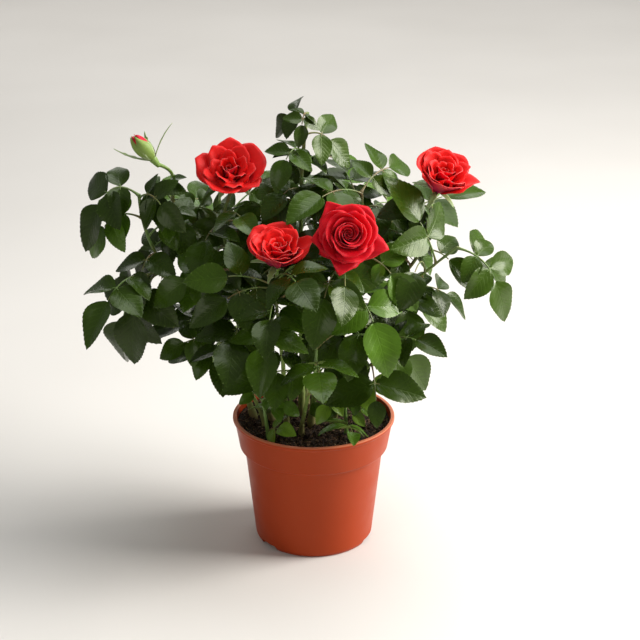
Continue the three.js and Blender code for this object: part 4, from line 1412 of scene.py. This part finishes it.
seats = {tint: [] for tint in LEAF_TINTS}
for number, leaf in enumerate(leaves):
    tint = tint_of(leaf, number)
    for i, (blade, kept) in enumerate(zip(leaf["blades"], leaf["held"])):
        if kept:
            seats[tint].append((*blade, (number * 5 + i * 3) % len(BLADE_FORMS)))
for tint, (colour, veins, underside) in LEAF_TINTS.items():
    points = bpy.data.meshes.new("leaf_seats_" + tint)
    points.from_pydata([tuple(seat[0] * MM) for seat in seats[tint]], [], [])
    turns = []
    for base, along, face, length, form in seats[tint]:
        turns.extend(Matrix((along, face.cross(along), face)).transposed().to_euler())
    for label, kind, field, values in (
        ("turn", "FLOAT_VECTOR", "vector", turns),
        ("size", "FLOAT", "value", [seat[3] * MM for seat in seats[tint]]),
        ("blade", "INT", "value", [seat[4] for seat in seats[tint]]),
    ):
        points.attributes.new(label, kind, "POINT").data.foreach_set(field, values)
    bearer = piece_of("leaf_seats_" + tint, points)
    settings = {
        "Blades": leaf_shapes,
        "Upper face": leaf_finish("leaf_upper_" + tint, colour, veins, GLOSS_ABOVE),
        "Under face": leaf_finish("leaf_under_" + tint, underside, toned(underside, 1.25), GLOSS_BELOW),
    }
    grown = grown_by(bearer, leaves_on_seats, settings, "leaflets_" + tint)
    bpy.data.objects.remove(bearer)
    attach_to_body(grown, "root")
    if tint == "deep":
        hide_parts(*SHOOTS)


# The blooms: double flowers of 21 to 25 soft petals each, scarlet with a darker crimson back, and a pale pink
# painted highlight along each petal's rim.
# They open from a tight heart, whorl by whorl, on a green hip at the end of a shoot's stem.

PETAL_COLUMNS = 12
PETAL_ROWS = 11
PETAL_THICKNESS = 0.32
HEART_CUP = 0.4
# Rows of petals: the turns they stand at, length and width as shares of the bloom's size, seat radius,
# lean at foot and tip, cup radius, how far the margins roll back, curl of the lip, and how pointed they are
BLOOM_FORMS = {
    "starry": (
        ((22,), 1.02, 1.20, 2.3, 0.82, 1.22, 1.30, 0.06, 0.20, 0.0),
        ((88, 166, 322), 1.00, 1.06, 2.3, 0.76, 1.16, 0.90, 0.62, 0.10, 0.5),
        ((243,), 0.98, 1.12, 2.3, 0.70, 1.00, 0.90, 0.35, 0.25, 0.2),
        ((57, 127, 203, 284, 352), 0.90, 0.84, 1.9, 0.56, 0.92, 0.60, 0.72, 0.10, 0.4),
        ((20, 95, 165, 240, 310), 0.80, 0.64, 1.5, 0.38, 0.62, 0.38, 0.75, 0.15, 0.3),
        ((55, 145, 235, 325), 0.72, 0.52, 0.9, 0.18, 0.22, 0.22, 0.60, 0.10, 0.2),
        ((40, 160, 280), 0.58, 0.32, 0.9, 0.10, -0.02, 0.075, 0.00, 0.10, 0.0),
    ),
    "cupped": (
        ((18,), 1.00, 1.00, 2.3, 0.76, 1.00, 0.80, 0.45, 0.15, 0.6),
        ((80, 142), 0.96, 1.00, 2.3, 0.64, 0.82, 0.72, 0.30, 0.20, 0.2),
        ((205, 285), 0.98, 1.20, 2.3, 0.62, 0.70, 0.60, 0.15, 0.25, 0.1),
        ((45, 112, 178, 250, 322), 0.92, 0.86, 1.9, 0.46, 0.64, 0.46, 0.35, 0.25, 0.3),
        ((20, 110, 200, 290), 0.85, 0.72, 1.4, 0.30, 0.44, 0.32, 0.60, 0.25, 0.2),
        ((65, 155, 245, 335), 0.76, 0.55, 0.9, 0.17, 0.22, 0.20, 0.55, 0.20, 0.1),
        ((30, 150, 270), 0.66, 0.38, 0.9, 0.12, 0.02, 0.09, 0.00, 0.20, 0.0),
    ),
    "high_centred": (
        ((124, 264, 346), 1.06, 1.12, 2.4, 0.84, 1.26, 1.30, 0.62, 0.30, 0.9),
        ((58,), 0.98, 1.14, 2.4, 0.80, 1.20, 1.20, 0.40, 0.35, 0.4),
        ((190,), 0.94, 1.14, 2.4, 0.80, 1.20, 1.20, 0.60, 0.30, 0.8),
        ((155, 228, 300, 20, 88), 0.90, 1.04, 2.0, 0.64, 0.98, 0.80, 0.25, 0.45, 0.2),
        ((140, 262, 20), 0.89, 1.16, 1.7, 0.46, 0.64, 0.50, 0.05, 0.60, 0.1),
        ((200, 320, 80), 0.87, 1.10, 1.5, 0.34, 0.34, 0.35, 0.00, 0.65, 0.0),
        ((150, 270, 30), 0.82, 0.86, 1.3, 0.24, 0.14, 0.23, 0.00, 0.50, 0.0),
        ((210, 330, 90), 0.76, 0.54, 1.1, 0.14, 0.03, 0.13, 0.00, 0.40, 0.0),
        ((160, 280, 40), 0.70, 0.28, 0.7, 0.05, -0.01, 0.065, 0.00, 0.25, 0.0),
    ),
}
# shoot, top of the hip, where the bloom looks, first turn, size, form and colours
BLOOMS = {
    "bloom_left": ("leaves_bloom_left", (-59, 1, 277), (0.02, -0.62, 0.78), 0, 28, "starry", "scarlet"),
    "bloom_front": ("leaves_bloom_front", (-25, -52, 233), (0.05, -0.42, 0.90), 0, 28, "cupped", "scarlet"),
    "bloom_centre": (
        "leaves_bloom_centre", (22, -42, 247), (0.12, -0.84, 0.50), 0, 27, "high_centred", "crimson"
    ),
    "bloom_right": ("leaves_right", (87, -3, 271), (0.25, -0.42, 0.88), -28, 29, "cupped", "scarlet"),
}
# face and back of a petal, the pale pink of its rim that is a painted highlight, and the foot of its back
PETAL_COLOURS = {
    "scarlet": (
        (0.90, 0.012, 0.010, 1), (0.66, 0.008, 0.034, 1), (0.92, 0.18, 0.17, 1), (0.34, 0.004, 0.050, 1)
    ),
    "crimson": (
        (0.70, 0.003, 0.014, 1), (0.54, 0.003, 0.028, 1), (0.80, 0.07, 0.09, 1), (0.30, 0.003, 0.040, 1)
    ),
}


def eased(values, low, high):
    share = np.clip((values - low) / (high - low), 0, 1)
    return share * share * (3 - 2 * share)


def petal_sheet(length, width, seat, foot, tip, cup, roll=0, curl=0, point=0, slant=0, ripple=0, phase=0):
    """The middle surface of a petal about +Z that leans out along +X, as a grid of points in millimetres."""
    across = np.linspace(-1, 1, PETAL_COLUMNS + 1)[None, :]
    up = np.linspace(0, 1, PETAL_ROWS + 1)[:, None]
    fine = np.linspace(0, 1.25, 126)
    lean_line = foot + (tip - foot) * fine**1.25 + curl * np.clip((fine - 0.68) / 0.32, 0, 1.6) ** 2
    out_line = seat + np.concatenate([[0], np.cumsum(np.sin(lean_line[:-1]) * length * 0.01)])
    rise_line = np.concatenate([[0], np.cumsum(np.cos(lean_line[:-1]) * length * 0.01)])
    crown = 1 - (0.16 + 0.26 * point) * np.abs(across) ** (2.4 - 1.2 * point)
    crown = crown + (0.02 + 0.06 * point) * np.exp(-((across / 0.2) ** 2))
    reach = up * crown
    lean = np.interp(reach, fine, lean_line)
    out = np.interp(reach, fine, out_line)
    rise = np.interp(reach, fine, rise_line)
    spread = 0.24 + 0.76 * np.sin(np.clip(up / 0.74, 0, 1) * math.pi / 2)
    half = width / 2 * spread * (1 - 0.12 * np.clip((up - 0.74) / 0.26, 0, 1) ** 2)
    line = np.abs(across) * half
    fold_at = (1 - roll * eased(up, 0.3, 1.0)) * half
    beyond = np.clip(line - fold_at, 0, None)
    kept = np.minimum(line, fold_at)
    bow = kept / cup
    curve = np.maximum(0.085 * length, (half - fold_at) / 2.4)
    bent = beyond / curve
    turned_side = curve * np.sin(bent)
    turned_in = curve * (1 - np.cos(bent))
    side = cup * np.sin(bow) + np.cos(bow) * turned_side + np.sin(bow) * turned_in
    inward = cup * (1 - np.cos(bow)) + np.sin(bow) * turned_side - np.cos(bow) * turned_in
    side = side * np.sign(across)
    wave = np.sin(3.4 * across + phase) + 0.45 * np.sin(8.3 * across - 2.1 * phase)
    shift = slant * length * across * up
    side = side + shift * np.sin(bow) * np.sign(across)
    inward = inward - shift * np.cos(bow) - ripple * length * wave * up**3
    x = out - inward * np.cos(lean)
    z = rise + inward * np.sin(lean)
    return np.stack([x, side * np.ones_like(x), z], axis=2)


def sheet_faces(rows, columns):
    """Faces of a closed two-sided sheet: its inner face, its back, and the rim between them, with charts."""
    count = (rows + 1) * (columns + 1)
    faces = []
    kinds = []
    charts = []

    def add_face(kind, *corners):
        faces.append([back * count + row * (columns + 1) + column for row, column, back in corners])
        kinds.append(kind)
        charts.append([(column / columns, row / rows) for row, column, back in corners])

    for row in range(rows):
        for column in range(columns):
            square = ((row, column), (row, column + 1), (row + 1, column + 1), (row + 1, column))
            add_face(0, *[(*corner, 0) for corner in square])
            add_face(1, *[(*corner, 1) for corner in reversed(square)])
    border = [(0, column) for column in range(columns)]
    border += [(row, columns) for row in range(rows)]
    border += [(rows, column) for column in range(columns, 0, -1)]
    border += [(row, 0) for row in range(rows, 0, -1)]
    for here, after in zip(border, border[1:] + border[:1]):
        add_face(2, (*here, 0), (*here, 1), (*after, 1), (*after, 0))
    return faces, kinds, charts


def thickened(sheet, thickness):
    """The inner face and the back of a sheet, thinner at its rim."""
    along = np.gradient(sheet, axis=0)
    across = np.gradient(sheet, axis=1)
    normal = np.cross(across, along)
    normal /= np.maximum(np.linalg.norm(normal, axis=2, keepdims=True), 1e-9)
    half = np.full(sheet.shape[:2], thickness / 2)
    half[:, (0, -1)] *= 0.6
    half[-1, :] *= 0.6
    offset = normal * half[..., None]
    return np.concatenate([(sheet - offset).reshape(-1, 3), (sheet + offset).reshape(-1, 3)])


def set_on(points, azimuth, look, hip):
    """Turns points made about +Z by an azimuth and to look along a line, and sets them on top of the hip."""
    cosine, sine = math.cos(azimuth), math.sin(azimuth)
    turn = np.array([[cosine, -sine, 0], [sine, cosine, 0], [0, 0, 1]])
    tilt = np.array(UP.rotation_difference(Vector(look).normalized()).to_matrix())
    return points @ turn.T @ tilt.T + np.array(hip)


class Gathered:
    """Collects the points and faces of many small sheets into one mesh."""

    def __init__(self):
        self.points = []
        self.faces = []
        self.kinds = []
        self.charts = []
        self.count = 0

    def add(self, points, sheet_kind):
        faces, kinds, charts = sheet_kind
        self.points.append(points)
        self.faces.extend([index + self.count for index in face] for face in faces)
        self.kinds.extend(kinds)
        self.charts.extend(charts)
        self.count += len(points)

    def piece(self, name, finishes):
        mesh = bpy.data.meshes.new(name)
        mesh.from_pydata((np.concatenate(self.points) * MM).tolist(), [], self.faces)
        for finish in finishes:
            mesh.materials.append(finish)
        mesh.polygons.foreach_set("material_index", self.kinds)
        chart = mesh.uv_layers.new(name="UVMap")
        chart.data.foreach_set("uv", [value for face in self.charts for place in face for value in place])
        mesh.shade_smooth()
        mesh.update()
        return piece_of(name, mesh)


def petal_finish(name, colour, at_foot):
    """Velvety petal skin: darker at its foot, streaked along its length, with a soft bloom on its surface."""
    finish, tree, shader = new_finish(
        name,
        roughness=0.52,
        specular=0.2,
        Sheen_Weight=0.1,
        Sheen_Roughness=0.35,
        Sheen_Tint=(1.0, 0.55, 0.55, 1),
        Subsurface_Weight=0.35,
        Subsurface_Radius=(1.0, 0.22, 0.18),
        Subsurface_Scale=0.002,
    )
    chart = chart_place(tree)
    streaks = noise_over(tree, stretched_place(tree, chart, (26, 1.6, 1)), 1.0, 4)
    darker = toned(colour, 0.74)
    streaked = blended_colour(tree, ranged(tree, streaks, 0.4, 0.75, 0.0, 0.22), colour, darker)
    clouded = blended_colour(tree, patches(tree, object_place(tree), 60, 0.35, 0.75, 2), streaked, darker)
    foot = ranged(tree, axis_of(tree, chart, "Y"), 0.1, 0.75, 1.0, 0.0)
    set_inputs(tree, shader, Base_Color=blended_colour(tree, foot, clouded, at_foot))
    add_relief(tree, shader, streaks, strength=0.14, distance=0.0003)
    return finish


# The rim finish is a painted highlight: each petal's edge is coloured pale pink where light would catch it.
petal_finishes = {
    colours: [
        petal_finish(f"petal_face_{colours}", face, back),
        petal_finish(f"petal_back_{colours}", back, back_foot),
        petal_finish(f"petal_rim_{colours}", rim_highlight, back),
    ]
    for colours, (face, back, rim_highlight, back_foot) in PETAL_COLOURS.items()
}
petal_faces = sheet_faces(PETAL_ROWS, PETAL_COLUMNS)
for number, (bloom_name, bloom_plan) in enumerate(BLOOMS.items()):
    shoot_name, hip, look, first_turn, size, form, colours = bloom_plan
    draw = np.random.default_rng(500 + number)
    gathered = Gathered()
    for turns, length, width, seat, foot, tip, cup, roll, curl, point in BLOOM_FORMS[form]:
        freedom = min(1.0, cup / HEART_CUP)
        for k, turn in enumerate(turns):
            vary = draw.uniform(-1, 1, 8)
            sheet = petal_sheet(
                size * length * (1 + 0.05 * vary[0]),
                size * width * (1 + 0.07 * vary[1]),
                seat + 0.1 * k,
                foot,
                tip * (1 + 0.07 * vary[2]) + 0.03 * vary[3],
                size * cup * (1 + 0.12 * vary[4]),
                min(0.92, max(0.0, roll + 0.22 * freedom * vary[5])),
                curl + 0.15 * vary[6],
                point,
                0.07 + 0.03 * freedom * vary[7],
                0.026 * freedom,
                3.0 * vary[7],
            )
            azimuth = math.radians(first_turn + turn) + 0.06 * draw.uniform(-1, 1)
            gathered.add(set_on(thickened(sheet, PETAL_THICKNESS), azimuth, look, hip), petal_faces)
    bloom = gathered.piece(bloom_name + "_petals", petal_finishes[colours])
    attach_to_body(bloom, "root")
    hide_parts(bloom_name)


# The bud: five scarlet petals rolled to a point, still half held by green sepals with pale edges. Two of
# its sepals have let go and spread. It stands on the end of its shoot's stem like the blooms.

BUD_HIP = (-112, -4, 294)
BUD_LOOK = (-0.60, -0.08, 0.80)
BUD_LENGTH = 21
BUD_SEPAL = (0.250, 0.370, 0.070, 1)
BUD_SEPAL_INSIDE = (0.32, 0.42, 0.15, 1)
SEPAL_EDGE = (0.46, 0.55, 0.30, 1)
SEPAL_ROWS = 12
SEPAL_COLUMNS = 4
SEPAL_THICKNESS = 0.4
HOLDING_SEAT = 2.3
HOLDING_CUP = 0.28
LOOSE_SEAT = 2.4
LOOSE_WIDTH = 3.2
# how many, length and width as shares of the bud's, seat radius, lean at foot and tip, cup radius, first turn
BUD_PETALS = (
    (3, 1.00, 0.66, 1.8, 0.54, -0.68, 0.26, 0),
    (2, 1.02, 0.50, 1.2, 0.38, -0.48, 0.20, 50),
)
# turn, length and width in millimetres, lean at foot and tip
HOLDING_SEPALS = (
    (212, 23.5, 14.5, 0.60, -0.73),
    (288, 22.5, 15.5, 0.60, -0.70),
    (140, 23.0, 14.0, 0.60, -0.72),
    (50, 20.5, 12.5, 0.60, -0.68),
)
# turn, length, lean at foot and tip, droop, and how large the side lobes are
LOOSE_SEPALS = (
    (176, 27, 0.85, 0.30, 0.0, 0.9),
    (8, 27, 0.95, 1.35, 0.0, 0.5),
    (80, 22, 0.6, 0.9, 0.3, 0.9),
)

bud_petals = Gathered()
for petals, length, width, seat, foot, tip, cup, turn in BUD_PETALS:
    for k in range(petals):
        measures = (BUD_LENGTH * length, BUD_LENGTH * width, seat, foot, tip, BUD_LENGTH * cup)
        sheet = petal_sheet(*measures, curl=0.1, point=0.6, slant=0.03, ripple=0.01, phase=k)
        azimuth = math.radians(turn + 360 * k / petals)
        bud_petals.add(set_on(thickened(sheet, PETAL_THICKNESS), azimuth, BUD_LOOK, BUD_HIP), petal_faces)
bud = bud_petals.piece("bud_petals", petal_finishes["scarlet"])
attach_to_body(bud, "root")
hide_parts("flower_bud")


def sepal_finish(name, colour, edge):
    """Green sepal skin with a pale downy edge and fine lines along it."""
    finish, tree, shader = new_finish(name, roughness=0.5, specular=0.4)
    chart = chart_place(tree)
    lines = noise_over(tree, stretched_place(tree, chart, (30, 2, 1)), 1.0, 3)
    streaked = blended_colour(tree, lines, colour, toned(colour, 0.7))
    margin = ranged(tree, from_midrib(tree, chart), 0.34, 0.5)
    set_inputs(tree, shader, Base_Color=blended_colour(tree, margin, streaked, edge))
    add_relief(tree, shader, lines, strength=0.3, distance=0.0003)
    return finish


def sepal_skins(name, inside, outside):
    return [
        sepal_finish(name + "_inside", inside, SEPAL_EDGE),
        sepal_finish(name + "_outside", outside, SEPAL_EDGE),
        sepal_finish(name + "_edge", SEPAL_EDGE, SEPAL_EDGE),
    ]


def sepal_sheet(length, width, seat, foot, tip, droop, lobes):
    """A narrow pointed sepal about +Z that leans out along +X, with small side lobes where they are given."""
    across = np.linspace(-1, 1, SEPAL_COLUMNS + 1)[None, :]
    up = np.linspace(0, 1, SEPAL_ROWS + 1)[:, None]
    lean = foot + (tip - foot) * up + droop * up**2
    step = length / SEPAL_ROWS
    out = seat + np.vstack([[[0.0]], np.cumsum(np.sin(lean[:-1]) * step, axis=0)])
    rise = np.vstack([[[0.0]], np.cumsum(np.cos(lean[:-1]) * step, axis=0)])
    half = width / 2 * (0.75 + 0.9 * up) * (1 - up) ** 0.8 + 0.22
    lower_lobe = lobes * np.exp(-(((up - 0.45) / 0.05) ** 2))
    upper_lobe = lobes * np.exp(-(((up - 0.66) / 0.045) ** 2))
    half = half * (1 + lower_lobe + upper_lobe)
    fold = 0.22 * np.abs(across) * half
    x = out - fold * np.cos(lean)
    z = rise + fold * np.sin(lean)
    return np.stack([x, half * across * np.ones_like(x), z], axis=2)


sepal_faces = sheet_faces(SEPAL_ROWS, SEPAL_COLUMNS)
bud_sepals = Gathered()
for turn, length, width, foot, tip in HOLDING_SEPALS:
    sheet = petal_sheet(length, width, HOLDING_SEAT, foot, tip, BUD_LENGTH * HOLDING_CUP)
    taper = np.linspace(0, 1, PETAL_ROWS + 1)[:, None]
    sheet[..., 1] *= 1 - 0.9 * np.clip((taper - 0.55) / 0.45, 0, 1) ** 1.3
    points = set_on(thickened(sheet, SEPAL_THICKNESS), math.radians(turn), BUD_LOOK, BUD_HIP)
    bud_sepals.add(points, petal_faces)
for turn, length, foot, tip, droop, lobes in LOOSE_SEPALS:
    sheet = sepal_sheet(length, LOOSE_WIDTH, LOOSE_SEAT, foot, tip, droop, lobes)
    points = set_on(thickened(sheet, SEPAL_THICKNESS), math.radians(turn), BUD_LOOK, BUD_HIP)
    bud_sepals.add(points, sepal_faces)
bud_cover = bud_sepals.piece("bud_sepals", sepal_skins("bud_sepal", BUD_SEPAL_INSIDE, BUD_SEPAL))
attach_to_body(bud_cover, "root")


# Hips, sepals and stalks: each flower sits on a small green urn, the hip, with five sepals that hang back
# from its top, on a smooth stalk that carries the shoot's stem on without a joint.

SEPAL_GREEN = (0.13, 0.215, 0.060, 1)
SEPAL_PALE = (0.25, 0.37, 0.12, 1)
HIP_GREEN = (0.215, 0.345, 0.065, 1)
SEPALS_PER_BLOOM = 5
SEPAL_LENGTH = 17
SEPAL_WIDTH = 4.6
SEPAL_SEAT = 2.2
SEPAL_LEAN = 1.35
SEPAL_LOBES = 0.7
HIP_LENGTH = 6.5
HIP_RADIUS = 3.3
HIP_SIDES = 24
FLOWER_STALK_STEPS = 16
# heights in metres above the whole plant, so that a hip shows no red
NO_FLUSH = (0.5, 0.9)

hanging_sepals = Gathered()
for number, (shoot_name, hip, look, *_) in enumerate(BLOOMS.values()):
    draw = np.random.default_rng(640 + number)
    for k in range(SEPALS_PER_BLOOM):
        vary = draw.uniform(-1, 1, 4)
        length, width = SEPAL_LENGTH + 1.5 * vary[0], SEPAL_WIDTH + 0.5 * vary[1]
        tip, droop = 2.0 + 0.3 * vary[2], 0.25 + 0.2 * vary[3]
        sheet = sepal_sheet(length, width, SEPAL_SEAT, SEPAL_LEAN, tip, droop, SEPAL_LOBES * (k % 2))
        azimuth = 2 * math.pi * (k + 0.5) / SEPALS_PER_BLOOM + 0.15 * vary[3]
        hanging_sepals.add(set_on(thickened(sheet, SEPAL_THICKNESS), azimuth, look, hip), sepal_faces)
sepals = hanging_sepals.piece("hanging_sepals", sepal_skins("sepal", SEPAL_PALE, SEPAL_GREEN))
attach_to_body(sepals, "root")

hip_outline = eased_outline(
    (0, -HIP_LENGTH, 0),
    (HIP_RADIUS * 0.42, -HIP_LENGTH, 0.3),
    (HIP_RADIUS, -HIP_LENGTH * 0.5, 1.6),
    (HIP_RADIUS * 0.86, -0.6, 0.7),
    (HIP_RADIUS * 0.98, 0.5, 0.4),
    (HIP_RADIUS * 0.7, 1.4, 0.4),
    (0, 1.4, 0),
)
bud_hip_outline = eased_outline(
    (0, -HIP_LENGTH * 1.1, 0),
    (1.5, -HIP_LENGTH * 1.1, 0.3),
    (2.3, -HIP_LENGTH * 0.55, 2.5),
    (3.1, 0.6, 1.5),
    (2.4, 1.6, 0.4),
    (0, 1.6, 0),
)
hip_skin = shoot_skin_finish("hip_skin", HIP_GREEN, SHOOT_RED, *NO_FLUSH)
flower_seats = [(shoot_name, hip, look, hip_outline) for shoot_name, hip, look, *_ in BLOOMS.values()]
flower_seats.append(("leaves_bud", BUD_HIP, BUD_LOOK, bud_hip_outline))
hips = bmesh.new()
stalk_lines = []
for shoot_name, hip, look, outline in flower_seats:
    urn = turned_mesh("hip", outline, HIP_SIDES)
    turn = UP.rotation_difference(Vector(look).normalized()).to_matrix().to_4x4()
    urn.transform(Matrix.Translation(Vector(hip) * MM) @ turn)
    hips.from_mesh(urn)
    leaving = stems[shoot_name].tangent(1)
    start = stems[shoot_name].at(1)
    end = Vector(hip) - Vector(look).normalized() * HIP_LENGTH * 0.8
    line = Bend(start, start + leaving * ((end - start).length / 2), end)
    chain = [(start - leaving * 2, STEM_END_GIRTH)]
    for share in shares(FLOWER_STALK_STEPS):
        chain.append((line.at(share), STEM_END_GIRTH + 0.35 * share**4))
    stalk_lines.append(chain)
hip_mesh = plain_mesh("flower_hips", hips)
hip_mesh.shade_smooth()
flower_hips = piece_of("flower_hips", hip_mesh, hip_skin)
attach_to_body(flower_hips, "root")
flower_stalk_skins = skinned(
    "flower_stalks", stalk_lines, sides=12, relief=0.06, relief_scale=500.0, finish=hip_skin
)
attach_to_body(flower_stalk_skins, "root")


# The studio: a plain pale floor, a large soft light from the right, a weak one from the front left and a
# pale room all round. The camera stands where the photograph was taken from. None of it is part of the plant.

CAMERA_PITCH = 21.3
LENS = 95.6
FLOOR_PALE = (0.72, 0.69, 0.65, 1)
FLOOR_SHADED = (0.68, 0.65, 0.61, 1)
# name, place, what it is turned to, width and height, power, colour
LIGHTS = (
    ("window", (1.25, 0.05, 0.8), (0, 0, 0.15), (0.8, 1.0), 40, (1.0, 0.98, 0.95)),
    ("sky", (0.35, 0.3, 1.7), (0, 0, 0.2), (1.5, 1.0), 17, (0.95, 0.98, 1.0)),
    ("fill", (-0.9, -1.3, 0.9), (0, 0, 0.15), (0.8, 0.8), 3.0, (1.0, 0.98, 0.96)),
    ("backdrop", (0, 2.1, 1.1), (0, 1.7, 0), (3.0, 0.8), 13, (1.0, 0.99, 0.97)),
)

floor_finish, floor_tree, floor_shader = new_finish("pale_floor", roughness=0.7, specular=0.3)
floor_shade = patches(floor_tree, object_place(floor_tree), 3, 0.3, 0.7, 2)
floor_colour = blended_colour(floor_tree, floor_shade, FLOOR_PALE, FLOOR_SHADED)
set_inputs(floor_tree, floor_shader, Base_Color=floor_colour)
floor_mesh = bpy.data.meshes.new("floor")
floor_mesh.from_pydata([(-6, -6, 0), (6, -6, 0), (6, 6, 0), (-6, 6, 0)], [], [(0, 1, 2, 3)])
floor = piece_of("floor", floor_mesh, floor_finish)

for light_name, place, target, size, power, colour in LIGHTS:
    lamp = bpy.data.lights.new(light_name, "AREA")
    lamp.shape = "RECTANGLE"
    lamp.size, lamp.size_y = size
    lamp.energy = power
    lamp.color = colour
    light = piece_of(light_name, lamp)
    light.location = place
    light.rotation_euler = (Vector(target) - Vector(place)).to_track_quat("-Z", "Y").to_euler()

room = bpy.data.worlds.new("pale_room")
room.use_nodes = True
set_inputs(room.node_tree, room.node_tree.nodes["Background"], Color=(0.95, 0.95, 0.93, 1), Strength=0.25)
bpy.context.scene.world = room
bpy.context.scene.view_settings.view_transform = "Standard"

view = bpy.data.cameras.new("view")
view.sensor_width = 36
view.lens = LENS
camera = piece_of("view", view)
camera.location = CAMERA_AT
camera.rotation_euler = (math.radians(90 - CAMERA_PITCH), 0, 0)
bpy.context.scene.camera = camera
